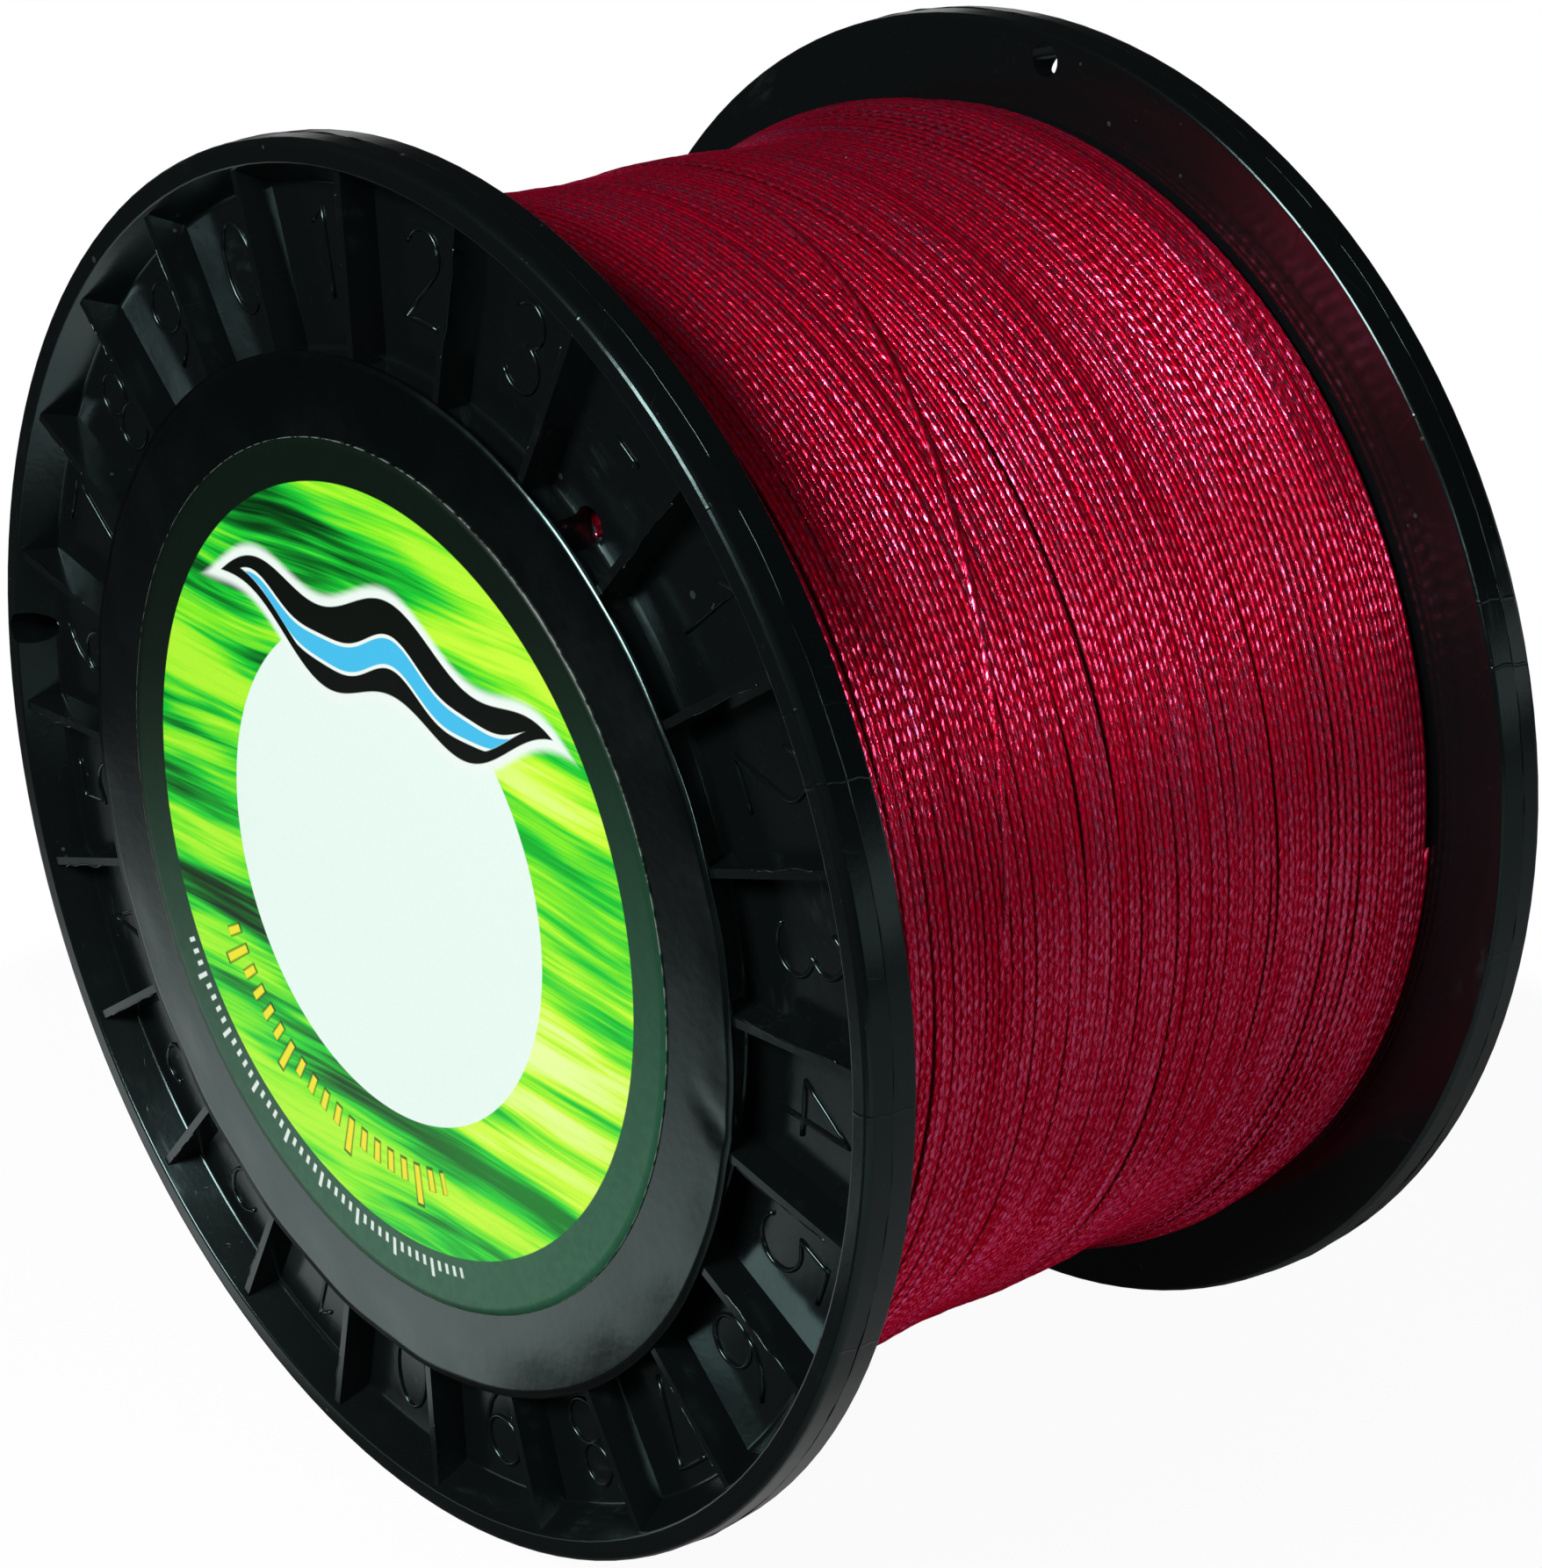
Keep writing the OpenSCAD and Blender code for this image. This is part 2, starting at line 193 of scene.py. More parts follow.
class Graph:
    """A node tree that is written as Python expressions."""

    def __init__(self, tree: bpy.types.NodeTree) -> None:
        """Start with an empty tree."""
        self.tree = tree
        tree.nodes.clear()

    def node(
        self,
        kind: str,
        settings: Mapping[str, object] | None = None,
        inputs: Mapping[str | int, Feed] | None = None,
        output: str | int = 0,
    ) -> Wire:
        """Add a node.

        Args:
            kind: Type name of the node.
            settings: Its properties. "stops" fills a colour ramp with (place, colour) pairs.
            inputs: A value or a wire for each named or numbered input.
            output: Which output comes back.

        Returns:
            The wire of that output.
        """
        made = self.tree.nodes.new(kind)
        for name, value in (settings or {}).items():
            if name == "stops":
                self._fill_ramp(made.color_ramp, value)
            else:
                setattr(made, name, value)
        for name, value in (inputs or {}).items():
            if isinstance(value, Wire):
                self.tree.links.new(value.socket, made.inputs[name])
            else:
                made.inputs[name].default_value = value
        return Wire(self, made.outputs[output]) if made.outputs else Wire(self, None)

    @staticmethod
    def _fill_ramp(ramp: bpy.types.ColorRamp, stops: Iterable[tuple[float, Colour]]) -> None:
        """Give a colour ramp its stops.

        Args:
            ramp: The ramp.
            stops: A place from 0 to 1 and a colour for each stop.
        """
        for index, (place, colour) in enumerate(stops):
            stop = ramp.elements[index] if index < 2 else ramp.elements.new(place)
            stop.position = place
            stop.color = (*colour, 1.0)

    def math(self, operation: str, *values: Value) -> Wire:
        """Add a Math node on these values."""
        return self.node("ShaderNodeMath", {"operation": operation}, dict(enumerate(values)))

    def vector(self, operation: str, *values: Feed) -> Wire:
        """Add a Vector Math node on these vectors."""
        return self.node("ShaderNodeVectorMath", {"operation": operation}, dict(enumerate(values)))

    def ramp(
        self, value: Value, low: float, high: float, start: float = 0.0, end: float = 1.0
    ) -> Wire:
        """Go smoothly from start to end as the value goes from low to high.

        Args:
            value: The value.
            low: Where the change begins. It may lie above where it ends.
            high: Where it ends.
            start: What comes back at low.
            end: What comes back at high.

        Returns:
            The blend.
        """
        if low > high:
            low, high, start, end = high, low, end, start
        inputs = {"Value": value, "From Min": low, "From Max": high, "To Min": start, "To Max": end}
        return self.node("ShaderNodeMapRange", {"interpolation_type": "SMOOTHSTEP"}, inputs)

    def mix(self, factor: Value, first: Feed, second: Feed) -> Wire:
        """Mix two colours.

        Args:
            factor: Share of the second colour.
            first: First colour.
            second: Second colour.

        Returns:
            The colour.
        """
        colours = [c if isinstance(c, Wire) else (*c, 1.0) for c in (first, second)]
        inputs = {0: factor, 6: colours[0], 7: colours[1]}
        return self.node("ShaderNodeMix", {"data_type": "RGBA", "blend_type": "MIX"}, inputs, 2)

    def blend(self, factor: Wire, first: Wire, second: Wire) -> Wire:
        """Mix two shaders."""
        return self.node("ShaderNodeMixShader", None, {0: factor, 1: first, 2: second})

    def rays(self) -> tuple[Wire, Wire, Wire]:
        """Give 1 where a camera ray, a glossy ray and a transmitted ray looks."""
        camera = self.node("ShaderNodeLightPath", output="Is Camera Ray")
        return camera, camera.output("Is Glossy Ray"), camera.output("Is Transmission Ray")

    def distance(self, first: Wire, second: Wire) -> Wire:
        """Give the length of a vector in a plane from its two numbers."""
        return self.math("SQRT", first * first + second * second)

    def place(self) -> Wire:
        """Give the point's place in the row frame, in metres."""
        return self.node("ShaderNodeTexCoord", output="Object")

    def split(self, vector: Wire) -> tuple[Wire, Wire, Wire]:
        """Split a vector into its three numbers."""
        first = self.node("ShaderNodeSeparateXYZ", inputs={0: vector})
        return first, first.output(1), first.output(2)

    def join(self, x: Value, y: Value, z: Value) -> Wire:
        """Join three numbers into a vector."""
        return self.node("ShaderNodeCombineXYZ", inputs={0: x, 1: y, 2: z})

    def noise(
        self, vector: Wire, scale: float = 1.0, detail: float = 2.0, rough: float = 0.5
    ) -> Wire:
        """Give noise from 0 to 1. Scale is in waves per unit of the vector."""
        inputs = {"Vector": vector, "Scale": scale, "Detail": detail, "Roughness": rough}
        return self.node("ShaderNodeTexNoise", None, inputs)

    def specks(self, vector: Wire, scale: float, size: float) -> Wire:
        """Give 1 inside small round specks and 0 between them.

        Args:
            vector: Place on the surface.
            scale: Specks per unit of the vector.
            size: Radius of the largest speck, as a share of their spacing.

        Returns:
            The mask.
        """
        inputs = {"Vector": vector, "Scale": scale}
        distance = self.node("ShaderNodeTexVoronoi", None, inputs, "Distance")
        red, green, _ = self.split(distance.output("Color"))
        chosen = self.ramp(red, 0.35, 1.0)
        radius = size * chosen * (0.3 + 0.7 * green)
        return self.math("LESS_THAN", distance, radius)

    def bump(self, height: Wire, depth: float, under: Wire | None = None) -> Wire:
        """Turn a height of 0 to 1 into a normal.

        Args:
            height: The height.
            depth: Its real depth in metres.
            under: Normal of a broader bump that this one lies on.

        Returns:
            The normal.
        """
        inputs = {"Strength": 1.0, "Distance": depth, "Height": height}
        if under is not None:
            inputs["Normal"] = under
        return self.node("ShaderNodeBump", None, inputs)

    def surface(self, inputs: Mapping[str | int, Feed]) -> None:
        """Add the Principled shader and link it to the output."""
        self.finish(self.node("ShaderNodeBsdfPrincipled", None, inputs))

    def finish(self, shader: Wire, kind: str = "ShaderNodeOutputMaterial") -> None:
        """Link the shader to the output."""
        self.node(kind, None, {"Surface": shader})


def new_material(name: str) -> tuple[bpy.types.Material, Graph]:
    """Make an empty material with its graph.

    Args:
        name: Name of the material.

    Returns:
        The material and its graph.
    """
    material = bpy.data.materials.new(name)
    material.use_nodes = True
    return material, Graph(material.node_tree)


# ---------------------------------------------------------------- finishes


@dataclass(frozen=True)
class GlossPlastic:
    """Black moulded plastic, glossy, with fine scratches, dust and dull scuffs.

    Scales are in waves per metre. The knit lines' angles are in degrees round the axis, and
    their half width is in radians.
    """

    name: str = "gloss_black_plastic"
    base: Colour = (0.0032, 0.0044, 0.0047)
    dust: Colour = (0.034, 0.044, 0.047)
    gloss_tint: Tint = (0.66, 1.0, 0.98, 1.0)
    polish: float = 0.17
    patch_rough: float = 0.06
    scuff_rough: float = 0.25
    speck_rough: float = 0.35
    scuff_veil: float = 0.20
    mark_veil: float = 0.10
    speck_veil: float = 0.50
    skin_relief: float = 0.50
    knit_relief: float = 1.20
    mark_relief: float = 0.15
    unroll_r: float = 80.0 * MM
    patch_scale: float = 42.0
    patch_span: Span = (0.56, 0.72)
    grain_stretch: Place = (260.0, 1900.0, 900.0)
    grain_span: Span = (0.45, 0.75)
    speck_scale: float = 240.0
    speck_size: float = 0.11
    sink_scale: float = 55.0
    sink_depth: float = 0.35 * MM
    skin_scale: float = 900.0
    skin_depth: float = 0.02 * MM
    scratch_sets: tuple[Span, ...] = ((0.35, 0.0), (-0.8, 3.1), (1.35, 7.7))
    scratch_stretch: Place = (70.0, 2600.0, 2600.0)
    scratch_span: Span = (0.735, 0.775)
    knit_angles: tuple[float, ...] = (58.5, 41.0, 25.8, 20.5, -3.5, -24.0)
    knit_span: Span = (0.0032, 0.0005)
    knit_waver: float = 0.05
    knit_waver_scale: float = 160.0
    knit_slant: float = 1.5
    rim_span: Span = (78.7 * MM, 79.5 * MM)

    def material(self) -> bpy.types.Material:
        """Build the material.

        Returns:
            The material.
        """
        material, g = new_material(self.name)
        place = g.place()
        x, y, z = g.split(place)
        radius = g.distance(x, z)
        angle = g.math("ARCTAN2", z, x)
        along = g.join(angle * self.unroll_r, y, radius)
        marks = self._scratches(g, along)
        patch = g.noise(place, self.patch_scale, detail=3.0, rough=0.6)
        patch = g.ramp(patch, *self.patch_span)
        grain = g.noise(g.vector("MULTIPLY", along, self.grain_stretch), detail=3.0)
        scuff = patch * g.ramp(grain, *self.grain_span)
        speck = g.specks(place, self.speck_scale, self.speck_size)
        veil = self.scuff_veil * scuff + self.mark_veil * marks + self.speck_veil * speck
        sunk = g.bump(g.noise(place, self.sink_scale, detail=1.0), self.sink_depth)
        skin = g.noise(place, self.skin_scale)
        knit = self._knit_lines(g, angle, y, radius)
        relief = self.skin_relief * skin + self.knit_relief * knit + self.mark_relief * marks
        rough = self.polish + self.patch_rough * patch + self.scuff_rough * scuff
        g.surface(
            {
                "Base Color": g.mix(g.math("MINIMUM", veil, 1.0), self.base, self.dust),
                "Roughness": rough + self.speck_rough * speck,
                "Specular IOR Level": 0.5,
                "Specular Tint": self.gloss_tint,
                "Normal": g.bump(relief, self.skin_depth, sunk),
            }
        )
        return material

    def _scratches(self, g: Graph, along: Wire) -> Wire:
        """Give 1 on hairline scratches that run in three directions.

        Args:
            g: Graph of the material.
            along: Place on the unrolled flange.

        Returns:
            The mask.
        """
        total: Value = 0.0
        for tilt, shift in self.scratch_sets:
            inputs = {"Vector": along, "Angle": tilt}
            turned = g.node("ShaderNodeVectorRotate", {"rotation_type": "Z_AXIS"}, inputs)
            stretched = g.vector("MULTIPLY_ADD", turned, self.scratch_stretch, (shift,) * 3)
            total = g.ramp(g.noise(stretched, detail=1.0), *self.scratch_span) + total
        return g.math("MINIMUM", total, 1.0)

    def _knit_lines(self, g: Graph, angle: Wire, y: Wire, radius: Wire) -> Wire:
        """Give 1 on the fine lines across the rim where two flows of plastic met.

        Args:
            g: Graph of the material.
            angle: Angle round the axis.
            y: Place along the axis.
            radius: Distance from the axis.

        Returns:
            The mask.
        """
        waver = g.noise(g.join(y, radius, 0.0), self.knit_waver_scale) - 0.5
        wavy = angle + self.knit_waver * waver + self.knit_slant * y
        total: Value = 0.0
        for degrees in self.knit_angles:
            total = g.ramp(abs(wavy - math.radians(degrees)), *self.knit_span) + total
        return total * g.ramp(radius, *self.rim_span)


@dataclass(frozen=True)
class DullPlastic:
    """Plain moulded plastic of the barrel under the line. Scales are in waves per metre."""

    name: str = "dull_black_plastic"
    base: Colour = (0.028, 0.029, 0.031)
    rubbed: Colour = (0.036, 0.037, 0.039)
    polish: float = 0.42
    skin_rough: float = 0.15
    cloud_scale: float = 60.0
    cloud_span: Span = (0.3, 0.7)
    skin_scale: float = 1400.0
    skin_depth: float = 0.03 * MM

    def material(self) -> bpy.types.Material:
        """Build the material.

        Returns:
            The material.
        """
        material, g = new_material(self.name)
        place = g.place()
        cloud = g.ramp(g.noise(place, self.cloud_scale, detail=3.0), *self.cloud_span)
        skin = g.noise(place, self.skin_scale)
        g.surface(
            {
                "Base Color": g.mix(cloud, self.base, self.rubbed),
                "Roughness": self.polish + self.skin_rough * skin,
                "Normal": g.bump(skin, self.skin_depth),
            }
        )
        return material


@dataclass(frozen=True)
class BraidedLine:
    """Crimson braid of eight yarns with a waxy, slightly pink shine.

    The face-corner map "Strand" holds the share of the way round the line and the
    number of braid repeats along it. A yarn stands yarn_share high, and yarn_over higher
    or lower where it lies over or under the yarns that run the other way.
    """

    name: str = "crimson_braid"
    light: Colour = (0.94, 0.004, 0.050)
    # Painted shade colour for the grooves between yarns and the strand's sides; the random darker
    # tone along the line reaches it too.
    deep: Colour = (0.15, 0.0, 0.005)
    gleam: Colour = (0.96, 0.17, 0.39)
    lint: Colour = (0.75, 0.5, 0.5)
    shine_tint: Tint = (1.0, 0.10, 0.32, 1.0)
    metal: float = 0.95
    dull_rough: float = 0.54
    smooth_drop: float = 0.31
    yarns_each_way: int = 4
    yarn_round: float = 0.85
    yarn_share: float = 0.55
    yarn_over: float = 0.45
    over_span: Span = (-0.05, 0.05)
    fibres: float = 9.0
    fibre_l: float = 0.7
    fibre_relief: float = 0.5
    slow_wave: float = 0.03
    slack: float = 5.0
    twist: float = 0.3
    twist_wave: float = 0.01
    # Painted shade: how far round the strand its sides darken, and how much the grooves between
    # yarns darken.
    crown_span: Span = (0.2, 0.95)
    groove_span: Span = (0.1, 0.7)
    groove_tone: float = 0.62
    least_tone: float = 0.35
    length_tone: float = 1.25
    fibre_shine: float = 0.8
    length_shine: float = 0.45
    height_shine: float = 0.12
    relief: float = 0.042 * MM
    smooth_span: Span = (0.65, 0.73)
    gleam_span: Span = (0.70, 0.80)
    lint_scale: float = 330.0
    lint_size: float = 0.045
    lint_cover: float = 0.8

    def material(self) -> bpy.types.Material:
        """Build the material.

        Returns:
            The material.
        """
        material, g = new_material(self.name)
        strand = g.node("ShaderNodeUVMap", {"uv_map": "Strand"})
        around, length, _ = g.split(strand)
        tension = g.noise(g.join(length * self.slow_wave, 0.0, 0.0))
        rolling = g.noise(g.join(length * self.twist_wave, 5.0, 0.0), detail=1.0)
        repeats = length + self.slack * tension
        turned = self.yarns_each_way * (around + self.twist * rolling)
        left, right = turned + repeats, turned - repeats
        cos_left = g.math("COSINE", math.pi * left)
        cos_right = g.math("COSINE", math.pi * right)
        over = cos_left * cos_right
        yarn_left = abs(cos_left) ** self.yarn_round * (self.yarn_share + self.yarn_over * over)
        yarn_right = abs(cos_right) ** self.yarn_round * (self.yarn_share - self.yarn_over * over)
        height = g.math("MAXIMUM", yarn_left, yarn_right)
        fibre_left = g.noise(g.join(left * self.fibres, right * self.fibre_l, 0.0))
        fibre_right = g.noise(g.join(right * self.fibres, left * self.fibre_l, 4.0))
        on_left = g.ramp(over, *self.over_span)
        fibre = on_left * fibre_left + (1.0 - on_left) * fibre_right
        drawn = g.join(length * self.slow_wave, 9.0, 0.0)
        lengthwise = g.noise(drawn, detail=3.0, rough=0.7)
        # Painted shade: the colour darkens on the strand's sides, where it meets its neighbours,
        # and in the grooves between the yarns, while the tone along the line varies at random.
        side_shade = g.ramp(g.math("COSINE", FULL_TURN * around), *self.crown_span)
        tone = g.ramp(height, *self.groove_span, self.groove_tone, 1.0) * side_shade
        tone = tone * (self.least_tone + self.length_tone * lengthwise)
        shine = self.fibre_shine * fibre + self.length_shine * lengthwise
        shine = shine + self.height_shine * height
        colour = g.mix(g.math("MINIMUM", tone, 1.0), self.deep, self.light)
        colour = g.mix(g.ramp(shine, *self.gleam_span), colour, self.gleam)
        lint = self.lint_cover * g.specks(g.place(), self.lint_scale, self.lint_size)
        smooth = g.ramp(shine, *self.smooth_span)
        g.surface(
            {
                "Base Color": g.mix(lint, colour, self.lint),
                "Metallic": self.metal,
                "Roughness": self.dull_rough - self.smooth_drop * smooth,
                "Specular IOR Level": 0.2,
                "Specular Tint": self.shine_tint,
                "Normal": g.bump(height + self.fibre_relief * fibre, self.relief),
            }
        )
        return material


@dataclass(frozen=True)
class DiscFilm:
    """Semi-gloss black film over the hub, with faint smears and specks.

    Scales are in waves per metre.
    """

    name: str = "black_film"
    base: Colour = (0.0006, 0.0008, 0.0009)
    smear: Colour = (0.0022, 0.0027, 0.0027)
    gloss_tint: Tint = (0.62, 1.0, 0.96, 1.0)
    polish: float = 0.18
    cloud_rough: float = 0.07
    fine_rough: float = 0.04
    cloud_veil: float = 0.50
    wipe_veil: float = 0.35
    speck_veil: float = 0.60
    cloud_scale: float = 75.0
    cloud_span: Span = (0.42, 0.72)
    fine_scale: float = 700.0
    fine_depth: float = 0.02 * MM
    wipe_stretch: Place = (60.0, 60.0, 420.0)
    wipe_span: Span = (0.5, 0.8)
    speck_scale: float = 420.0
    speck_size: float = 0.08

    def material(self) -> bpy.types.Material:
        """Build the material.

        Returns:
            The material.
        """
        material, g = new_material(self.name)
        place = g.place()
        cloud = g.noise(place, self.cloud_scale, detail=4.0, rough=0.62)
        cloud = g.ramp(cloud, *self.cloud_span)
        fine = g.noise(place, self.fine_scale)
        speck = g.specks(place, self.speck_scale, self.speck_size)
        wipe = g.noise(g.vector("MULTIPLY", place, self.wipe_stretch), detail=3.0, rough=0.6)
        wipe = g.ramp(wipe, *self.wipe_span)
        veil = self.cloud_veil * cloud + self.wipe_veil * wipe + self.speck_veil * speck
        g.surface(
            {
                "Base Color": g.mix(g.math("MINIMUM", veil, 1.0), self.base, self.smear),
                "Roughness": self.polish + self.cloud_rough * cloud + self.fine_rough * fine,
                "Specular IOR Level": 1.0,
                "Specular Tint": self.gloss_tint,
                "Normal": g.bump(fine, self.fine_depth),
            }
        )
        return material


@dataclass(frozen=True)
class TickScale:
    """A curved scale at the label's lower left, with a long tick at every fifth.

    Lengths are in mm and angles in radians. A tick's width is a share of the step.
    """

    foot: float
    height: float
    step: float
    width: float
    short: float = 0.55
    long_every: float = 5.0
    long_shift: float = 2.0
    fifth_span: Span = (0.11, 0.09)
    starts: Span = (-2.66, -2.64)
    stops: Span = (-1.28, -1.30)
    soft_side: float = 0.06
    soft_end: float = 0.1

    def mask(self, g: Graph, radius: Wire, angle: Wire) -> Wire:
        """Give 1 on the ticks.

        Args:
            g: Graph of the label.
            radius: Distance from the middle, in mm.
            angle: Angle round the middle, in radians.

        Returns:
            The mask.
        """
        count = angle / self.step
        tick = abs(g.math("FRACT", count) - 0.5)
        fifth = abs(g.math("FRACT", (count + self.long_shift) / self.long_every) - 0.5)
        top = self.foot + self.height * g.ramp(fifth, *self.fifth_span, self.short, 1.0)
        half, side, end = self.width / 2, self.soft_side, self.soft_end
        line = g.ramp(tick, half + side, half - side)
        tall = g.ramp(radius, self.foot - end, self.foot + end) * g.ramp(radius - top, end, -end)
        part = g.ramp(angle, *self.starts) * g.ramp(angle, *self.stops)
        return line * tall * part


@dataclass(frozen=True)
class WaveBand:
    """A dark rolling wave with a white outline and an aqua heart. Lengths are in mm."""

    level: float = 26.5
    slope: float = -0.05
    roll: float = 2.1
    roll_l: float = 4.4
    roll_from: float = 0.8
    half_w: float = 5.2
    taper: float = 5.4
    taper_l: float = 31.0
    heart_shift: float = 0.9
    heart_roll: float = 0.5
    heart_l: float = 2.2
    heart_w: float = 0.34
    outline_span: Span = (2.3, 1.0)
    ink_span: Span = (0.45, 0.25)
    inner_span: Span = (-0.9, -1.1)
    rim_span: Span = (0.30, 0.15)
    heart_span: Span = (-0.15, -0.3)
    turn_x: float = 1.0

    def masks(self, g: Graph, across: Wire, up: Wire) -> tuple[Wire, Wire, Wire, Wire]:
        """Give the band's four masks.

        Args:
            g: Graph of the label.
            across: Place to the right of the middle.
            up: Place above the middle.

        Returns:
            The masks of the white outline, the dark band, the heart's rim and the heart.
        """
        roll = g.math("SINE", across / self.roll_l + self.roll_from)
        middle = self.level + self.slope * across + self.roll * roll
        half = self.half_w - self.taper * (abs(across - self.turn_x) / self.taper_l) ** 2.0
        lean = up - middle
        off = abs(lean) - half
        heart = lean + self.heart_shift - self.heart_roll * g.math("SINE", across / self.heart_l)
        stripe = abs(heart) - self.heart_w * half
        inner = g.ramp(off, *self.inner_span)
        return (
            g.ramp(off, *self.outline_span),
            g.ramp(off, *self.ink_span),
            g.ramp(stripe, *self.rim_span) * inner,
            g.ramp(stripe, *self.heart_span) * inner,
        )


@dataclass(frozen=True)
class Ripples:
    """Level water ripples in greens, with a pale glow over the right half.

    Lengths are in mm. A stretch holds the waves per mm across and up, and where the
    pattern starts.
    """

    drift_stretch: Place = (0.014, 0.030, 2.0)
    drift: float = 10.0
    swell_stretch: Place = (0.016, 0.15, 7.0)
    fine_stretch: Place = (0.040, 1.1, 11.0)
    fine_share: float = 0.34
    tone_span: Span = (0.30, 0.66)
    tone_share: float = 0.70
    glow_centre: Span = (26.0, -2.0)
    glow_squash: float = 0.8
    glow_span: Span = (46.0, 2.0)
    glow_share: float = 0.32
    greens: tuple[tuple[float, Colour], ...] = (
        (0.0, srgb(3, 42, 14)),
        (0.16, srgb(8, 128, 36)),
        (0.36, srgb(28, 204, 52)),
        (0.58, srgb(128, 236, 36)),
        (0.80, srgb(206, 250, 62)),
        (1.0, srgb(232, 252, 160)),
    )

    def colour(self, g: Graph, across: Wire, up: Wire) -> Wire:
        """Give the colour at a place.

        Args:
            g: Graph of the label.
            across: Place to the right of the middle.
            up: Place above the middle.

        Returns:
            The colour.
        """

        def stretched(height: Wire, stretch: Place) -> Wire:
            """Scale a place, with its height given apart."""
            return g.join(across * stretch[0], height * stretch[1], stretch[2])

        level = up + self.drift * (g.noise(stretched(up, self.drift_stretch)) - 0.5)
        swell = g.noise(stretched(level, self.swell_stretch), detail=3.0, rough=0.45)
        fine = g.noise(stretched(level, self.fine_stretch), rough=0.6)
        tone = g.ramp(swell + self.fine_share * (fine - 0.5), *self.tone_span)
        glow_x, glow_z = across - self.glow_centre[0], up - self.glow_centre[1]
        glow_r = g.math("SQRT", glow_x * glow_x + self.glow_squash * glow_z * glow_z)
        value = tone * self.tone_share + self.glow_share * g.ramp(glow_r, *self.glow_span)
        return g.node("ShaderNodeValToRGB", {"stops": self.greens}, {0: value})


@dataclass(frozen=True)
class PrintedPaper:
    """Coated paper, printed with ripples, a wave band, two scales and a pale panel."""

    label_centre: Span
    label_r: float
    centre: Span = (-0.6 * MM, -1.2 * MM)
    art_r: float = 45.5 * MM
    panel_r: float = 29.6 * MM
    name: str = "printed_label_paper"
    border: Colour = srgb(11, 23, 16)
    # Painted light: the border's colour at its lower left, where light from below falls on it.
    border_foot: Colour = srgb(44, 92, 68)
    fleck: Colour = (0.0, 0.01, 0.006)
    panel: Colour = srgb(230, 247, 239)
    # Partly the paper's pale cut edge and partly a painted highlight along it.
    cut_edge: Colour = srgb(150, 165, 155)
    ink: Colour = srgb(8, 14, 10)
    paper: Colour = srgb(236, 246, 240)
    aqua: Colour = srgb(70, 190, 235)
    lemon: Colour = srgb(238, 226, 44)
    border_scale: TickScale = TickScale(46.7, 2.3, 0.032, 0.38)
    shadow_scale: TickScale = TickScale(34.9, 5.6, 0.074, 0.52)
    lemon_scale: TickScale = TickScale(35.3, 4.8, 0.074, 0.36)
    ripples: Ripples = Ripples()
    wave: WaveBand = WaveBand()
    # Painted light: the slant and the reach over which the border grows lighter towards the lower
    # left.
    border_lean: float = 0.35
    border_span: Span = (35.0, -50.0)
    fleck_span: Span = (0.35, 0.65)
    fleck_cover: float = 0.12
    border_cover: float = 0.85
    shadow_cover: float = 0.8
    grain_scale: float = 2600.0
    grain_cover: float = 0.05
    soft_mm: float = 0.08
    polish: float = 0.30
    weave_rough: float = 0.10
    weave_scale: float = 900.0
    weave_depth: float = 0.012 * MM
    cut_w: float = 0.10 * MM
    cut_span: Span = (0.40, 0.60)
    cut_cover: float = 0.7

    def material(self) -> bpy.types.Material:
        """Build the material.

        Returns:
            The material.
        """
        material, g = new_material(self.name)
        place = g.place()
        x, _, z = g.split(place)
        across = (x - self.centre[0]) / MM
        up = (z - self.centre[1]) / MM
        weave = g.noise(place, self.weave_scale)
        colour = self._print(g, across, up, weave)
        grain = self.grain_cover * g.noise(place, self.grain_scale, detail=1.0)
        colour = g.mix(grain, colour, BLACK)
        radius = g.distance(x - self.label_centre[0], z - self.label_centre[1])
        # A pale rim at the cut edge: partly the paper's own edge, partly a painted highlight.
        cut = g.ramp(radius, self.label_r - self.cut_w, self.label_r)
        cut = cut * g.ramp(weave, *self.cut_span)
        g.surface(
            {
                "Base Color": g.mix(self.cut_cover * cut, colour, self.cut_edge),
                "Roughness": self.polish + self.weave_rough * weave,
                "Specular IOR Level": 0.2,
                "Normal": g.bump(weave, self.weave_depth),
            }
        )
        return material

    def _print(self, g: Graph, across: Wire, up: Wire, weave: Wire) -> Wire:
        """Print the border, the art, the scales, the panel and the wave band.

        Args:
            g: Graph of the label.
            across: Place to the right of the middle, in mm.
            up: Place above the middle, in mm.
            weave: Grain of the paper.

        Returns:
            The colour.
        """
        radius = g.distance(across, up)
        angle = g.math("ARCTAN2", up, across)
        # Painted light: the border is painted lighter towards the lower left, where light from
        # below falls on it.
        foot = g.ramp(up - self.border_lean * across, *self.border_span)
        ground = g.mix(foot, self.border, self.border_foot)
        ground = g.mix(self.fleck_cover * g.ramp(weave, *self.fleck_span), ground, self.fleck)
        ticks = self.border_cover * self.border_scale.mask(g, radius, angle)
        ground = g.mix(ticks, ground, self.paper)
        art = self.ripples.colour(g, across, up)
        colour = g.mix(self._inside(g, radius, self.art_r), ground, art)
        shadow = self.shadow_cover * self.shadow_scale.mask(g, radius, angle)
        colour = g.mix(shadow, colour, self.ink)
        colour = g.mix(self.lemon_scale.mask(g, radius, angle), colour, self.lemon)
        colour = g.mix(self._inside(g, radius, self.panel_r), colour, self.panel)
        inks = (self.paper, self.ink, self.paper, self.aqua)
        for mask, ink in zip(self.wave.masks(g, across, up), inks):
            colour = g.mix(mask, colour, ink)
        return colour

    def _inside(self, g: Graph, radius: Wire, edge: float) -> Wire:
        """Give 1 inside a circle, with a soft printed edge."""
        return g.ramp(radius, edge / MM + self.soft_mm, edge / MM - self.soft_mm)


# ---------------------------------------------------------------- meshes


